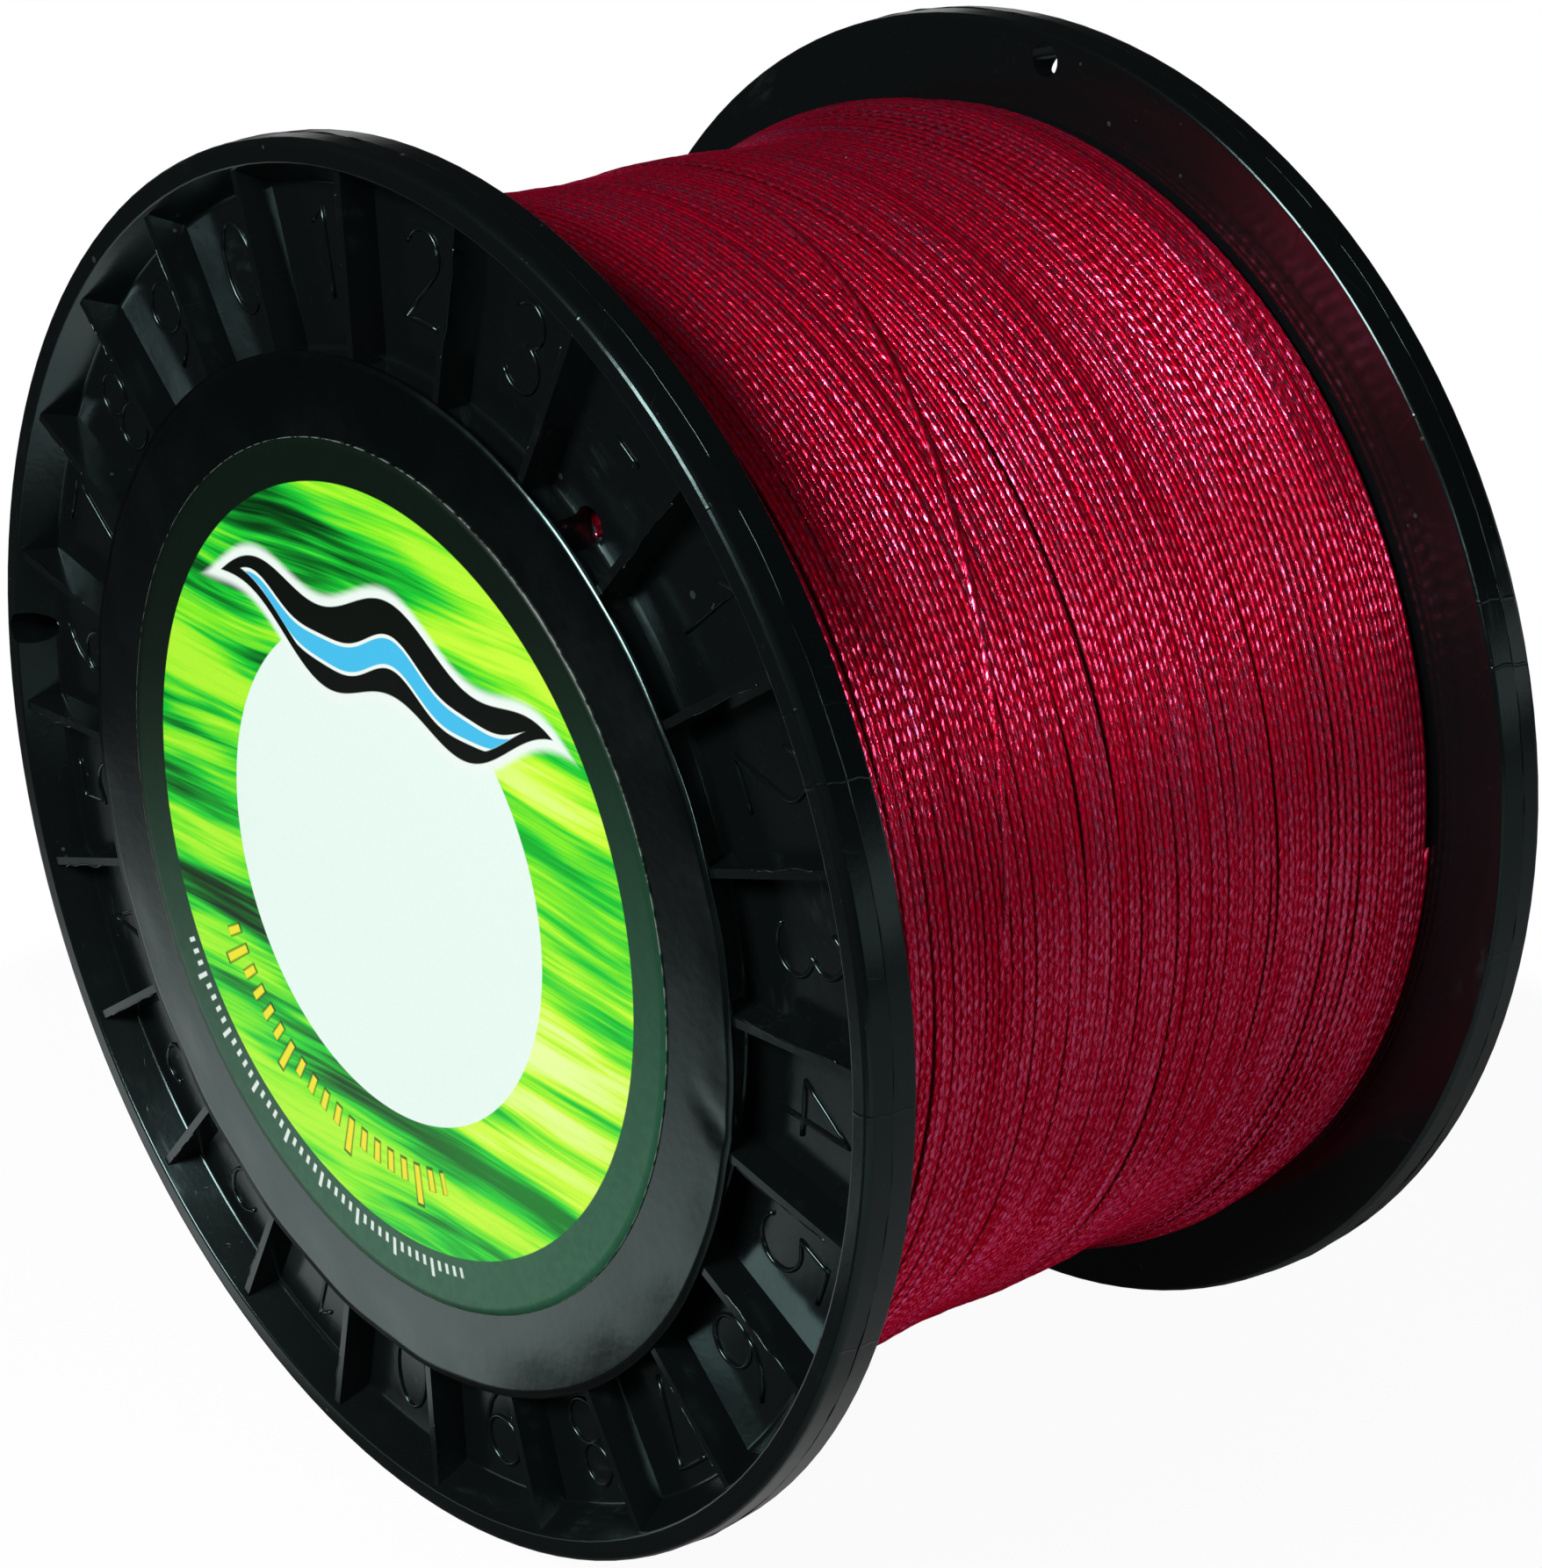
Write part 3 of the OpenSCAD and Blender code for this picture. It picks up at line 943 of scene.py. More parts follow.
@dataclass
class Shape:
    """A mesh under construction: points, faces and an optional map of the face corners."""

    points: list[Points] = field(default_factory=list)
    faces: list[tuple[int, ...]] = field(default_factory=list)
    corners: list[tuple[float, float]] = field(default_factory=list)
    count: int = 0

    def add(
        self,
        points: Points,
        faces: Iterable[Sequence[int]],
        corners: Iterable[tuple[float, float]] = (),
    ) -> None:
        """Add to the mesh.

        Args:
            points: New points.
            faces: Corners of each new face, counted from the first new point.
            corners: Map of the new faces' corners.
        """
        self.faces.extend(tuple(i + self.count for i in face) for face in faces)
        self.corners.extend(corners)
        self.points.append(np.asarray(points, float))
        self.count += len(points)

    def tube(
        self,
        path: Points,
        side: Points,
        out: Points,
        half_w: float,
        half_h: float,
        sides: int,
        repeats: Points | None = None,
        closed: bool = False,
    ) -> None:
        """Sweep an oval along a path.

        Args:
            path: Centre of each ring.
            side: Unit vector across each ring.
            out: Unit vector from the surface that the tube lies on.
            half_w: Half the oval's width, along side.
            half_h: Half the oval's height, along out.
            sides: Corners of the oval.
            repeats: Braid repeats at each ring, for the corner map.
            closed: Whether the last ring joins the first.
        """
        turn = FULL_TURN * np.arange(sides) / sides
        oval = side[:, None] * (half_w * np.sin(turn))[None, :, None]
        oval = oval + out[:, None] * (half_h * np.cos(turn))[None, :, None]
        rings = len(path)
        points = (path[:, None] + oval).reshape(-1, 3)
        last = rings if closed else rings - 1
        ring = np.repeat(np.arange(last), sides)
        here = np.tile(np.arange(sides), last)
        there = (here + 1) % sides
        ahead = (ring + 1) % rings
        near, far = ring * sides, ahead * sides
        quads = np.stack([near + here, near + there, far + there, far + here], 1)
        faces: list[Sequence[int]] = quads.tolist()
        corners: list[tuple[float, float]] = []
        if repeats is not None:
            u0, u1 = here / sides, (here + 1) / sides
            v0, v1 = repeats[ring], repeats[ahead]
            grid = np.stack([u0, v0, u1, v0, u1, v1, u0, v1], 1).reshape(-1, 2)
            corners = [tuple(c) for c in grid.tolist()]
        if not closed:
            faces += [range(sides)[::-1], range((rings - 1) * sides, rings * sides)]
            if repeats is not None:
                corners += [(0.0, float(repeats[0]))] * sides
                corners += [(0.0, float(repeats[-1]))] * sides
        self.add(points, faces, corners)

    def build(self, name: str, material: bpy.types.Material) -> bpy.types.Object:
        """Make the Blender object, with smooth shading.

        Args:
            name: Name of the piece.
            material: Its finish.

        Returns:
            The object, linked to the scene.
        """
        mesh = bpy.data.meshes.new(name)
        mesh.from_pydata(np.concatenate(self.points).tolist(), [], self.faces)
        if self.corners:
            layer = mesh.uv_layers.new(name="Strand")
            layer.data.foreach_set("uv", np.asarray(self.corners, np.float32).ravel())
        mesh.polygons.foreach_set("use_smooth", [True] * len(mesh.polygons))
        mesh.materials.append(material)
        mesh.update()
        return add_object(name, mesh)


def mount(piece: bpy.types.Object, stands_for: Sequence[str] = ()) -> None:
    """Fix a piece to the frame.

    Args:
        piece: The piece.
        stands_for: CAD nodes that it replaces.
    """
    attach(piece, "root")
    if stands_for:
        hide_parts(*stands_for)
    LOG.info("%s: %d faces", piece.name, len(piece.data.polygons))


# ---------------------------------------------------------------- flanges


class End(Enum):
    """Which end of the spool a flange closes, with the angle of its start hole in degrees."""

    FRONT = 55.9
    REAR = 206.1

    @property
    def node(self) -> str:
        """Name of the flange's CAD node."""
        return f"{self.name.lower()}_flange"

    @property
    def facing(self) -> float:
        """Sign of Y on the outer side."""
        return -1.0 if self is End.FRONT else 1.0

    def angle(self, around: Points) -> Points:
        """Turn an angle on the moulding, in radians, into one round the spool."""
        return math.radians(self.value) + self.facing * around

    def place(self, radius: Points, around: Points, depth: Points | float) -> Points:
        """Give the points at a radius, an angle and a depth below the outer face."""
        return at(radius, self.angle(around), self.facing * (SPOOL_W / 2 - depth))


ARC_STEP = 14.0
STROKE_POINTS = 5


def arc(x: float, y: float, rx: float, ry: float, start: float, stop: float) -> Points:
    """Give points on an oval arc.

    Args:
        x: Middle of the oval, across.
        y: Middle of the oval, up.
        rx: Its radius across.
        ry: Its radius up.
        start: Angle of the first point, in degrees.
        stop: Angle of the last point, in degrees.

    Returns:
        The points, about 14 degrees apart.
    """
    count = max(STROKE_POINTS, int(abs(stop - start) / ARC_STEP))
    turn = np.radians(np.linspace(start, stop, count))
    return np.stack([x + rx * np.cos(turn), y + ry * np.sin(turn)], 1)


def chain(*points: Span) -> Points:
    """Give straight strokes through these points, with a few points along each."""
    runs = [np.linspace(a, b, STROKE_POINTS)[:-1] for a, b in zip(points, points[1:])]
    return np.concatenate([*runs, [points[-1]]])


def joined(*strokes: Points) -> Points:
    """Join strokes end to end."""
    return np.concatenate(strokes)


# Centre lines of each digit, 1 unit high and about 0.6 wide, centred on x = 0.
DIGITS: dict[int, list[Points]] = {
    0: [arc(0, 0.5, 0.28, 0.5, 90, 450)],
    1: [chain((-0.16, 0.8), (0.04, 1.0), (0.04, 0.0))],
    2: [joined(arc(0, 0.73, 0.27, 0.27, 165, -35), chain((-0.28, 0.0), (0.3, 0.0)))],
    3: [arc(0, 0.76, 0.24, 0.24, 150, -80), arc(0, 0.27, 0.29, 0.27, 80, -150)],
    4: [chain((0.14, 0.0), (0.14, 1.0), (-0.3, 0.32), (0.32, 0.32))],
    5: [
        joined(
            chain((0.26, 1.0), (-0.2, 1.0), (-0.24, 0.56)),
            arc(0, 0.31, 0.3, 0.31, 118, -140),
        )
    ],
    6: [arc(0, 0.29, 0.28, 0.29, 90, 450), arc(0.42, 0.32, 0.7, 0.7, 178, 112)],
    7: [chain((-0.28, 1.0), (0.28, 1.0), (-0.08, 0.0))],
    8: [arc(0, 0.76, 0.23, 0.24, -90, 270), arc(0, 0.26, 0.28, 0.26, 90, 450)],
    9: [arc(0, 0.71, 0.28, 0.29, 90, 450), arc(-0.42, 0.68, 0.7, 0.7, -2, -68)],
}
HOLE_DASH = chain((-0.2, 0.62), (0.2, 0.62))


@dataclass
class Flange:
    """A ribbed flange: the CAD moulding with its raised numerals and mould flash.

    Depths are below the rim's outer face. Shares and smoothing widths have no unit.
    """

    end: End
    finish: bpy.types.Material
    floor_depth: float = 4.5 * MM
    seat_drop: float = 0.6 * MM
    rib_top_t: float = 1.0 * MM
    numeral_foot_r: float = 64.2 * MM
    numeral_h: float = 10.4 * MM
    stroke_w: float = 0.62 * MM
    stroke_h: float = 0.34 * MM
    stroke_sides: int = 8
    stroke_join: float = 0.01 * MM
    flash_from_r: float = 61.9 * MM
    flash_to_r: float = 76.9 * MM
    flash_r: float = 0.13 * MM
    flash_rings: int = 26
    flash_reach: Span = (0.35, 1.0)
    flash_wander: float = 0.11 * MM
    flash_wander_share: Span = (0.2, 1.3)
    flash_sink: float = 0.05 * MM
    flash_dip: float = 0.04 * MM
    wander_smooth: float = 1.6
    dip_smooth: float = 1.4
    parting_depth: float = 3.15 * MM
    parting_rings: int = 720
    parting_sides: int = 6
    parting_shake: float = 0.035 * MM
    parting_smooth: Span = (1.5, 2.0)
    parting_most: float = 1.5
    parting_half: Span = (0.09 * MM, 0.06 * MM)
    parting_inset: float = 0.02 * MM
    flat_inset: float = 0.06 * MM
    rim_r: float = 82.5 * MM
    box_half: float = 82.48 * MM
    seed: int = 11
    pocket: float = FULL_TURN / RIB_COUNT

    def build(self) -> None:
        """Dress the CAD node and add the fine pieces."""
        dress(self.end.node, self.finish)
        makers = {
            "numerals": self._numerals,
            "rib_flash": self._rib_flash,
            "rim_flash": self._rim_flash,
        }
        for name, make in makers.items():
            mount(make().build(f"{self.end.node}_{name}", self.finish))

    def _bead(
        self, shape: Shape, path: Points, half_w: float, half_h: float, closed: bool = False
    ) -> None:
        """Lay a rounded bead along a path on the outer side.

        Args:
            shape: Mesh that takes the bead.
            path: Its centre line.
            half_w: Half its width.
            half_h: Its height above the path.
            closed: Whether its end joins its start.
        """
        ahead = np.roll(path, -1, 0) - np.roll(path, 1, 0)
        if not closed:
            ahead[0], ahead[-1] = path[1] - path[0], path[-1] - path[-2]
        out = np.broadcast_to([0.0, self.end.facing, 0.0], path.shape)
        side = unit(np.cross(unit(ahead), out))
        shape.tube(path, side, out, half_w, half_h, self.stroke_sides, closed=closed)

    def _numerals(self) -> Shape:
        """Raise one digit on the floor of each pocket, and a short dash by the start hole.

        Returns:
            The mesh.
        """
        shape = Shape()
        for index in range(RIB_COUNT):
            strokes = DIGITS[index % len(DIGITS)] if index else [HOLE_DASH]
            for stroke in strokes:
                radius = self.numeral_foot_r + stroke[:, 1] * self.numeral_h
                around = index * self.pocket + stroke[:, 0] * self.numeral_h / radius
                path = self.end.place(radius, around, self.floor_depth)
                round_trip = bool(np.linalg.norm(path[0] - path[-1]) < self.stroke_join)
                path = path[:-1] if round_trip else path
                self._bead(shape, path, self.stroke_w / 2, self.stroke_h, round_trip)
        return shape

    def _rib_flash(self) -> Shape:
        """Lay the ragged thread of flash that the mould leaves along one edge of each rib.

        Returns:
            The mesh.
        """
        shape = Shape()
        rng = np.random.default_rng(self.seed + len(self.end.node))
        longest = self.flash_to_r - self.flash_from_r
        for index in range(RIB_COUNT):
            middle = (index + 0.5) * self.pocket
            inner_r = self.flash_to_r - rng.uniform(*self.flash_reach) * longest
            radius = np.linspace(self.flash_to_r, inner_r, self.flash_rings)
            wander = self.flash_wander * rng.uniform(*self.flash_wander_share)
            wander = wander * soft_noise(rng, self.flash_rings, self.wander_smooth)
            edge = rng.choice([-1.0, 1.0]) * self.rib_top_t / 2
            dip = self.flash_dip * np.abs(soft_noise(rng, self.flash_rings, self.dip_smooth))
            depth = self.seat_drop + self.flash_sink + dip
            path = self.end.place(radius, middle + (edge + wander) / radius, depth)
            self._bead(shape, path, self.flash_r, self.flash_r)
        return shape

    def _rim_flash(self) -> Shape:
        """Lay the broken thread of flash along the rim's parting line, inside the CAD's box.

        Returns:
            The mesh.
        """
        shape = Shape()
        rng = np.random.default_rng(self.seed)
        around = FULL_TURN * np.arange(self.parting_rings) / self.parting_rings
        proud = soft_noise(rng, self.parting_rings, self.parting_smooth[0])
        proud = self.parting_shake * np.clip(proud, -self.parting_most, self.parting_most)
        shake = soft_noise(rng, self.parting_rings, self.parting_smooth[1])
        theta = self.end.angle(around)
        box_r = self.box_half / np.maximum(np.abs(np.cos(theta)), np.abs(np.sin(theta)))
        rim_r = self.rim_r - self.parting_inset + proud
        radius = np.minimum(rim_r, box_r - self.flat_inset)
        depth = self.parting_depth + self.parting_shake * shake
        path = self.end.place(radius, around, depth)
        out = unit(path * [1.0, 0.0, 1.0])
        side = np.broadcast_to([0.0, 1.0, 0.0], path.shape)
        shape.tube(path, side, out, *self.parting_half, self.parting_sides, closed=True)
        return shape


# ---------------------------------------------------------------- line


@dataclass
class Winding:
    """The line: an outer layer of about a hundred turns over the inner layers.

    Waves are counted per turn. An end of the crossing length is given as its angle in
    degrees and its place along the axis. Layer depths are in thicknesses of the line.
    """

    finish: bpy.types.Material
    line_w: float = 0.94 * MM
    line_h: float = 0.86 * MM
    turns: int = 100
    rings_per_turn: int = 112
    sides: int = 8
    crossing_sides: int = 10
    second_sides: int = 6
    tail_sides: int = 12
    repeat: float = 2.0 * MM
    traverse: float = 88.0 * MM
    wind_r: float = 70.7 * MM
    rise: float = 2.3 * MM
    rise_at: float = 13.5 * MM
    rise_l: float = 12.0 * MM
    fall: float = 0.8 * MM
    wave: float = 0.25 * MM
    wave_l: float = 26.0 * MM
    barrel_r: float = 57.1 * MM
    seed: int = 5
    jitter: float = 0.026 * MM
    jitter_waves: int = 14
    gap_waves: int = 26
    lift_waves: int = 9
    gap_push: float = 0.42 * MM
    gap_from: float = 1.35
    gap_most: float = 1.3
    kept_stray: float = 0.80
    lift: float = 0.07 * MM
    settle_l: float = 3.0 * MM
    crossing_from: Span = (96.0, -1.8 * MM)
    crossing_to: Span = (-4.0, -21.6 * MM)
    crossing_rings: int = 160
    crossing_sway: float = 0.12 * MM
    sway_smooth: float = 9.0
    crossing_sink: float = 0.18 * MM
    crossing_dive: float = 0.85 * MM
    dive_share: float = 0.16
    second_rings: int = 60
    second_depth: float = 1.5
    core_inset: float = 0.9995
    core_depth: float = 1.75
    core_rings: int = 89
    core_segments: int = 96
    tail_r: float = 58.35 * MM
    tail_aside: float = 0.9 * MM
    tail_depths: Span = (6.5 * MM, 4.9 * MM)
    tail_rings: int = 9
    tail_thin: float = 0.4
    tail_flat: float = 0.8

    def surface_r(self, y: Points) -> Points:
        """Give the winding's outside radius at a place across the spool.

        Args:
            y: The place, along the axis.

        Returns:
            The radius.
        """
        from_rear = self.traverse / 2 - y
        flat_l = self.rise_at - self.rise_l / 2
        rise = ease((self.rise_at + self.rise_l / 2 - from_rear) / self.rise_l)
        fall = ease(1.0 - from_rear / flat_l)
        wave = np.sin(FULL_TURN * y / self.wave_l)
        return self.wind_r + self.rise * rise - self.fall * fall + self.wave * wave

    def build(self) -> None:
        """Wind the outer layer, the layer under it and the core, and leave the start showing."""
        for name, make, stands_for in (
            ("line_outer_layer", self._outer_layer, ["line_turns"]),
            ("line_crossing_turn", self._crossing, []),
            ("line_second_layer", self._second_layer, []),
            ("line_core", self._core, ["line_pack"]),
            ("line_start_tail", self._start, ["line_start"]),
        ):
            mount(make().build(name, self.finish), stands_for)

    def _coil(self, theta: Points, y: Points, radius: Points, sides: int) -> Shape:
        """Sweep the line along a path given round the axis.

        Args:
            theta: Angle at each ring.
            y: Place along the axis at each ring.
            radius: Distance from the axis at each ring.
            sides: Corners of the line's section.

        Returns:
            The mesh.
        """
        path = at(radius, theta, y)
        out = at(1.0, theta, 0.0)
        side = unit(np.cross(out, unit(np.gradient(path, axis=0))))
        steps = np.linalg.norm(np.diff(path, axis=0), axis=1)
        repeats = np.concatenate([[0.0], np.cumsum(steps)]) / self.repeat
        shape = Shape()
        shape.tube(path, side, out, self.line_w / 2, self.line_h / 2, sides, repeats)
        return shape

    def _wander(self, rng: np.random.Generator, count: int, per_turn: int) -> Points:
        """Give how far each ring strays from an even pitch, with gaps that open and close.

        Args:
            rng: Seeded source of the random numbers.
            count: How many rings there are.
            per_turn: Rings in a turn.

        Returns:
            The stray of each ring along the axis, most of which the next turn follows.
        """
        ramp_in = ease(np.arange(count) / (0.5 * per_turn))
        jitter = self.jitter * soft_noise(rng, count, per_turn / self.jitter_waves)
        opening = soft_noise(rng, count, per_turn / self.gap_waves)
        opening = np.clip(opening - self.gap_from, 0.0, self.gap_most)
        pushed = (jitter + self.gap_push * (opening - opening.mean())) * ramp_in
        stray = np.zeros(count)
        for ring in range(count):
            before = stray[ring - per_turn] if ring >= per_turn else 0.0
            stray[ring] = self.kept_stray * before + pushed[ring]
        return stray

    def _outer_layer(self) -> Shape:
        """Wind the layer that shows, as one unbroken length.

        Returns:
            The mesh.
        """
        rng = np.random.default_rng(self.seed)
        count = (self.turns - 1) * self.rings_per_turn + 1
        progress = np.arange(count) / (count - 1)
        half = self.traverse / 2 - self.line_w / 2
        even = -half + 2 * half * progress
        stray = self._wander(rng, count, self.rings_per_turn)
        loose = ease((half - np.abs(even)) / self.settle_l)
        y = even + stray * loose
        lift = self.lift * soft_noise(rng, count, self.rings_per_turn / self.lift_waves)
        theta = FULL_TURN * np.arange(count) / self.rings_per_turn
        radius = self.surface_r(y) - self.line_h / 2 + lift * loose
        return self._coil(theta, y, radius, self.sides)

    def _crossing(self) -> Shape:
        """Lay the length that slipped over its neighbours and dives under them at both ends.

        Returns:
            The mesh.
        """
        rng = np.random.default_rng(self.seed + 2)
        share = np.linspace(0.0, 1.0, self.crossing_rings)
        (from_angle, from_y), (to_angle, to_y) = self.crossing_from, self.crossing_to
        theta = np.radians(from_angle + share * (to_angle - from_angle))
        sway = self.crossing_sway * soft_noise(rng, self.crossing_rings, self.sway_smooth)
        y = from_y + ease(share) * (to_y - from_y) + sway
        buried = 1.0 - ease(np.minimum(share, 1.0 - share) / self.dive_share)
        radius = self.surface_r(y) - self.crossing_sink - self.crossing_dive * buried
        return self._coil(theta, y, radius, self.crossing_sides)

    def _second_layer(self) -> Shape:
        """Wind the layer below, which leans the other way and shows in the gaps.

        Returns:
            The mesh.
        """
        count = (self.turns - 2) * self.second_rings + 1
        half = self.traverse / 2 - self.line_w
        y = np.linspace(half, -half, count)
        theta = FULL_TURN * np.arange(count) / self.second_rings
        radius = self.surface_r(y) - self.second_depth * self.line_h
        return self._coil(theta, y, radius, self.second_sides)

    def _core(self) -> Shape:
        """Close the space between the barrel and the second layer.

        Returns:
            The mesh.
        """
        half = self.traverse / 2
        across = np.linspace(-half, half, self.core_rings) * self.core_inset
        outside = self.surface_r(across) - self.core_depth * self.line_h
        radius = np.concatenate([outside, [self.barrel_r, self.barrel_r]])
        y = np.concatenate([across, [across[-1], across[0]]])
        turn = FULL_TURN * np.arange(self.core_segments) / self.core_segments
        rings = len(radius)
        points = at(radius[None], turn[:, None], y[None]).reshape(-1, 3)
        faces, corners = [], []
        for segment in range(self.core_segments):
            here, there = segment * rings, (segment + 1) % self.core_segments * rings
            v0 = turn[segment] * self.wind_r / self.repeat
            v1 = (turn[segment] + turn[1]) * self.wind_r / self.repeat
            for ring in range(rings):
                after = (ring + 1) % rings
                faces.append((here + ring, here + after, there + after, there + ring))
                corners += [(ring, v0), (ring + 1, v0), (ring + 1, v1), (ring, v1)]
        shape = Shape()
        shape.add(points, faces, corners)
        return shape

    def _start(self) -> Shape:
        """Bring the line's start out of the front flange's hole with its cut end showing.

        Returns:
            The mesh.
        """
        out = at(1.0, math.radians(End.FRONT.value), 0.0)
        tangent = np.array([-out[2], 0.0, out[0]])
        depth = np.linspace(*self.tail_depths, self.tail_rings)
        path = at(0.0, 0.0, depth - SPOOL_W / 2)
        path = path + self.tail_r * out - self.tail_aside * tangent
        side, out = np.broadcast_to(tangent, path.shape), np.broadcast_to(out, path.shape)
        half_w = self.tail_thin * self.line_w
        half_h = self.tail_flat * half_w
        repeats = depth[::-1] / self.repeat
        shape = Shape()
        shape.tube(path, side, out, half_w, half_h, self.tail_sides, repeats)
        return shape


# ---------------------------------------------------------------- disc and label


@dataclass
class FrontCover:
    """The film disc on the hub ring and the label on it, which share one soft surface.

    Centres are given as x and z, and angles are in radians round the axis. The film sinks
    between the ribs from sag_from outwards, and a crease crosses its edge.
    """

    film: bpy.types.Material
    paper: bpy.types.Material
    seat_y: float = -49.9 * MM
    disc_r: float = 61.0 * MM
    disc_t: float = 0.4 * MM
    disc_centre: Span = (-0.2 * MM, -2.1 * MM)
    label_r: float = 51.3 * MM
    label_t: float = 0.15 * MM
    label_centre: Span = (-0.9 * MM, -2.1 * MM)
    rib_angle: float = math.radians(3.4)
    sag: float = 0.20 * MM
    sag_from: float = 56.5 * MM
    sag_over: float = 4.5 * MM
    ripple: float = 0.05 * MM
    ripple_lobes: float = 5.0
    ripple_twist: float = 90.0
    ripple_from: float = 15.0 * MM
    ripple_over: float = 30.0 * MM
    crease: float = 0.26 * MM
    crease_angle: float = math.radians(-8.0)
    crease_w: float = 1.6 * MM
    crease_from: float = 53.0 * MM
    crease_over: float = 6.0 * MM
    crease_mid_r: float = 57.0 * MM
    crease_lean: float = 0.3 / MM
    segments: int = 288
    ring_power: float = 0.8
    disc_rings: int = 46
    label_rings: int = 36

    def build(self) -> None:
        """Lay the disc and the label."""
        disc = self._sheet(self.disc_centre, self.disc_r, self.disc_t, self.seat_y, self.disc_rings)
        mount(disc.build("cover_disc", self.film), ["backing_disc"])
        back = self.seat_y - self.disc_t
        label = self._sheet(self.label_centre, self.label_r, self.label_t, back, self.label_rings)
        mount(label.build("round_label", self.paper), ["printed_label"])

    def _inward(self, x: Points, z: Points) -> Points:
        """Give how far the film sinks at a point, deepest at its free edge between ribs.

        Args:
            x: Places to the right of the axis.
            z: Places above the axis.

        Returns:
            The depths.
        """
        radius = np.hypot(x, z)
        theta = np.arctan2(z, x)
        bay = (theta - self.rib_angle) * RIB_COUNT / FULL_TURN
        between = np.sin(math.pi * bay) ** 2
        uneven = 0.75 + 0.25 * np.sin(3.0 * theta + 0.7) + 0.15 * np.sin(7.0 * theta)
        edge = ease((radius - self.sag_from) / self.sag_over)
        ripple = self.ripple * np.sin(theta * self.ripple_lobes + radius * self.ripple_twist)
        ripple = ripple * ease((radius - self.ripple_from) / self.ripple_over)
        off_crease = (theta - self.crease_angle) * radius / self.crease_w
        off_crease = off_crease + self.crease_lean * (radius - self.crease_mid_r)
        crease = self.crease * np.exp(-(off_crease**2))
        crease = crease * ease((radius - self.crease_from) / self.crease_over)
        return self.sag * uneven * between * edge + ripple * (1.0 - edge) + crease

    def _sheet(
        self, centre: Span, radius: float, thickness: float, back_y: float, rings: int
    ) -> Shape:
        """Make a round sheet that follows the soft surface.

        Args:
            centre: Its middle, as x and z.
            radius: Its radius.
            thickness: Its thickness.
            back_y: Where its back would lie if the surface were flat.
            rings: Rings of faces from the middle to the edge.

        Returns:
            The closed sheet.
        """
        turn = FULL_TURN * np.arange(self.segments) / self.segments
        steps = radius * np.linspace(0.0, 1.0, rings + 1)[1:] ** self.ring_power
        grid_x = centre[0] + steps[:, None] * np.cos(turn)[None]
        grid_z = centre[1] + steps[:, None] * np.sin(turn)[None]
        x = np.concatenate([[centre[0]], grid_x.ravel()])
        z = np.concatenate([[centre[1]], grid_z.ravel()])
        back = np.stack([x, back_y + self._inward(x, z), z], 1)
        front = back - [0.0, thickness, 0.0]
        size = len(x)
        faces: list[tuple[int, ...]] = []
        for here in range(self.segments):
            there = (here + 1) % self.segments
            faces += [(0, 1 + here, 1 + there), (size, size + 1 + there, size + 1 + here)]
            for ring in range(rings - 1):
                a, b = 1 + ring * self.segments, 1 + (ring + 1) * self.segments
                faces.append((a + here, b + here, b + there, a + there))
                faces.append((size + a + there, size + b + there, size + b + here, size + a + here))
            rim = 1 + (rings - 1) * self.segments
            faces.append((rim + here, size + rim + here, size + rim + there, rim + there))
        shape = Shape()
        shape.add(np.concatenate([back, front]), faces)
        return shape


# ---------------------------------------------------------------- studio


@dataclass(frozen=True)
class Softbox:
    """A rectangular lamp that looks at the spool."""

    name: str
    place: Place
    width: float
    height: float
    watts: float

    def build(self) -> None:
        """Hang the lamp."""
        data = bpy.data.lights.new(self.name, "AREA")
        data.shape = "RECTANGLE"
        data.size = self.width
        data.size_y = self.height
        data.energy = self.watts
        lamp = add_object(self.name, data)
        lamp.location = self.place
        lamp.rotation_euler = Vector(self.place).to_track_quat("Z", "Y").to_euler()


@dataclass(frozen=True)
class Backdrop:
    """The white seen behind the spool, and the dim even sky that lights it.

    A mirror on the spool sees the backdrop half as bright, low down behind the spool only:
    height and depth are parts of the direction in which it looks.
    """

    ambient: float = 0.06
    mirrored: float = 0.5
    least: float = 0.014
    height_span: Span = (0.16, 0.04)
    depth_span: Span = (0.2, 0.6)

    def build(self) -> None:
        """Make the world."""
        world = bpy.data.worlds.new("studio")
        world.use_nodes = True
        bpy.context.scene.world = world
        g = Graph(world.node_tree)
        camera, glossy, clear = g.rays()
        _, depth, height = g.split(g.node("ShaderNodeTexCoord", output="Generated"))
        low = g.ramp(abs(height), *self.height_span) * g.ramp(depth, *self.depth_span)
        seen = g.math("MINIMUM", camera + clear + self.mirrored * glossy * low, 1.0)
        dim = g.math("MAXIMUM", self.ambient * (1.0 - glossy), self.least)
        inputs = {"Color": WHITE, "Strength": g.math("MAXIMUM", seen, dim)}
        g.finish(g.node("ShaderNodeBackground", None, inputs), "ShaderNodeOutputWorld")


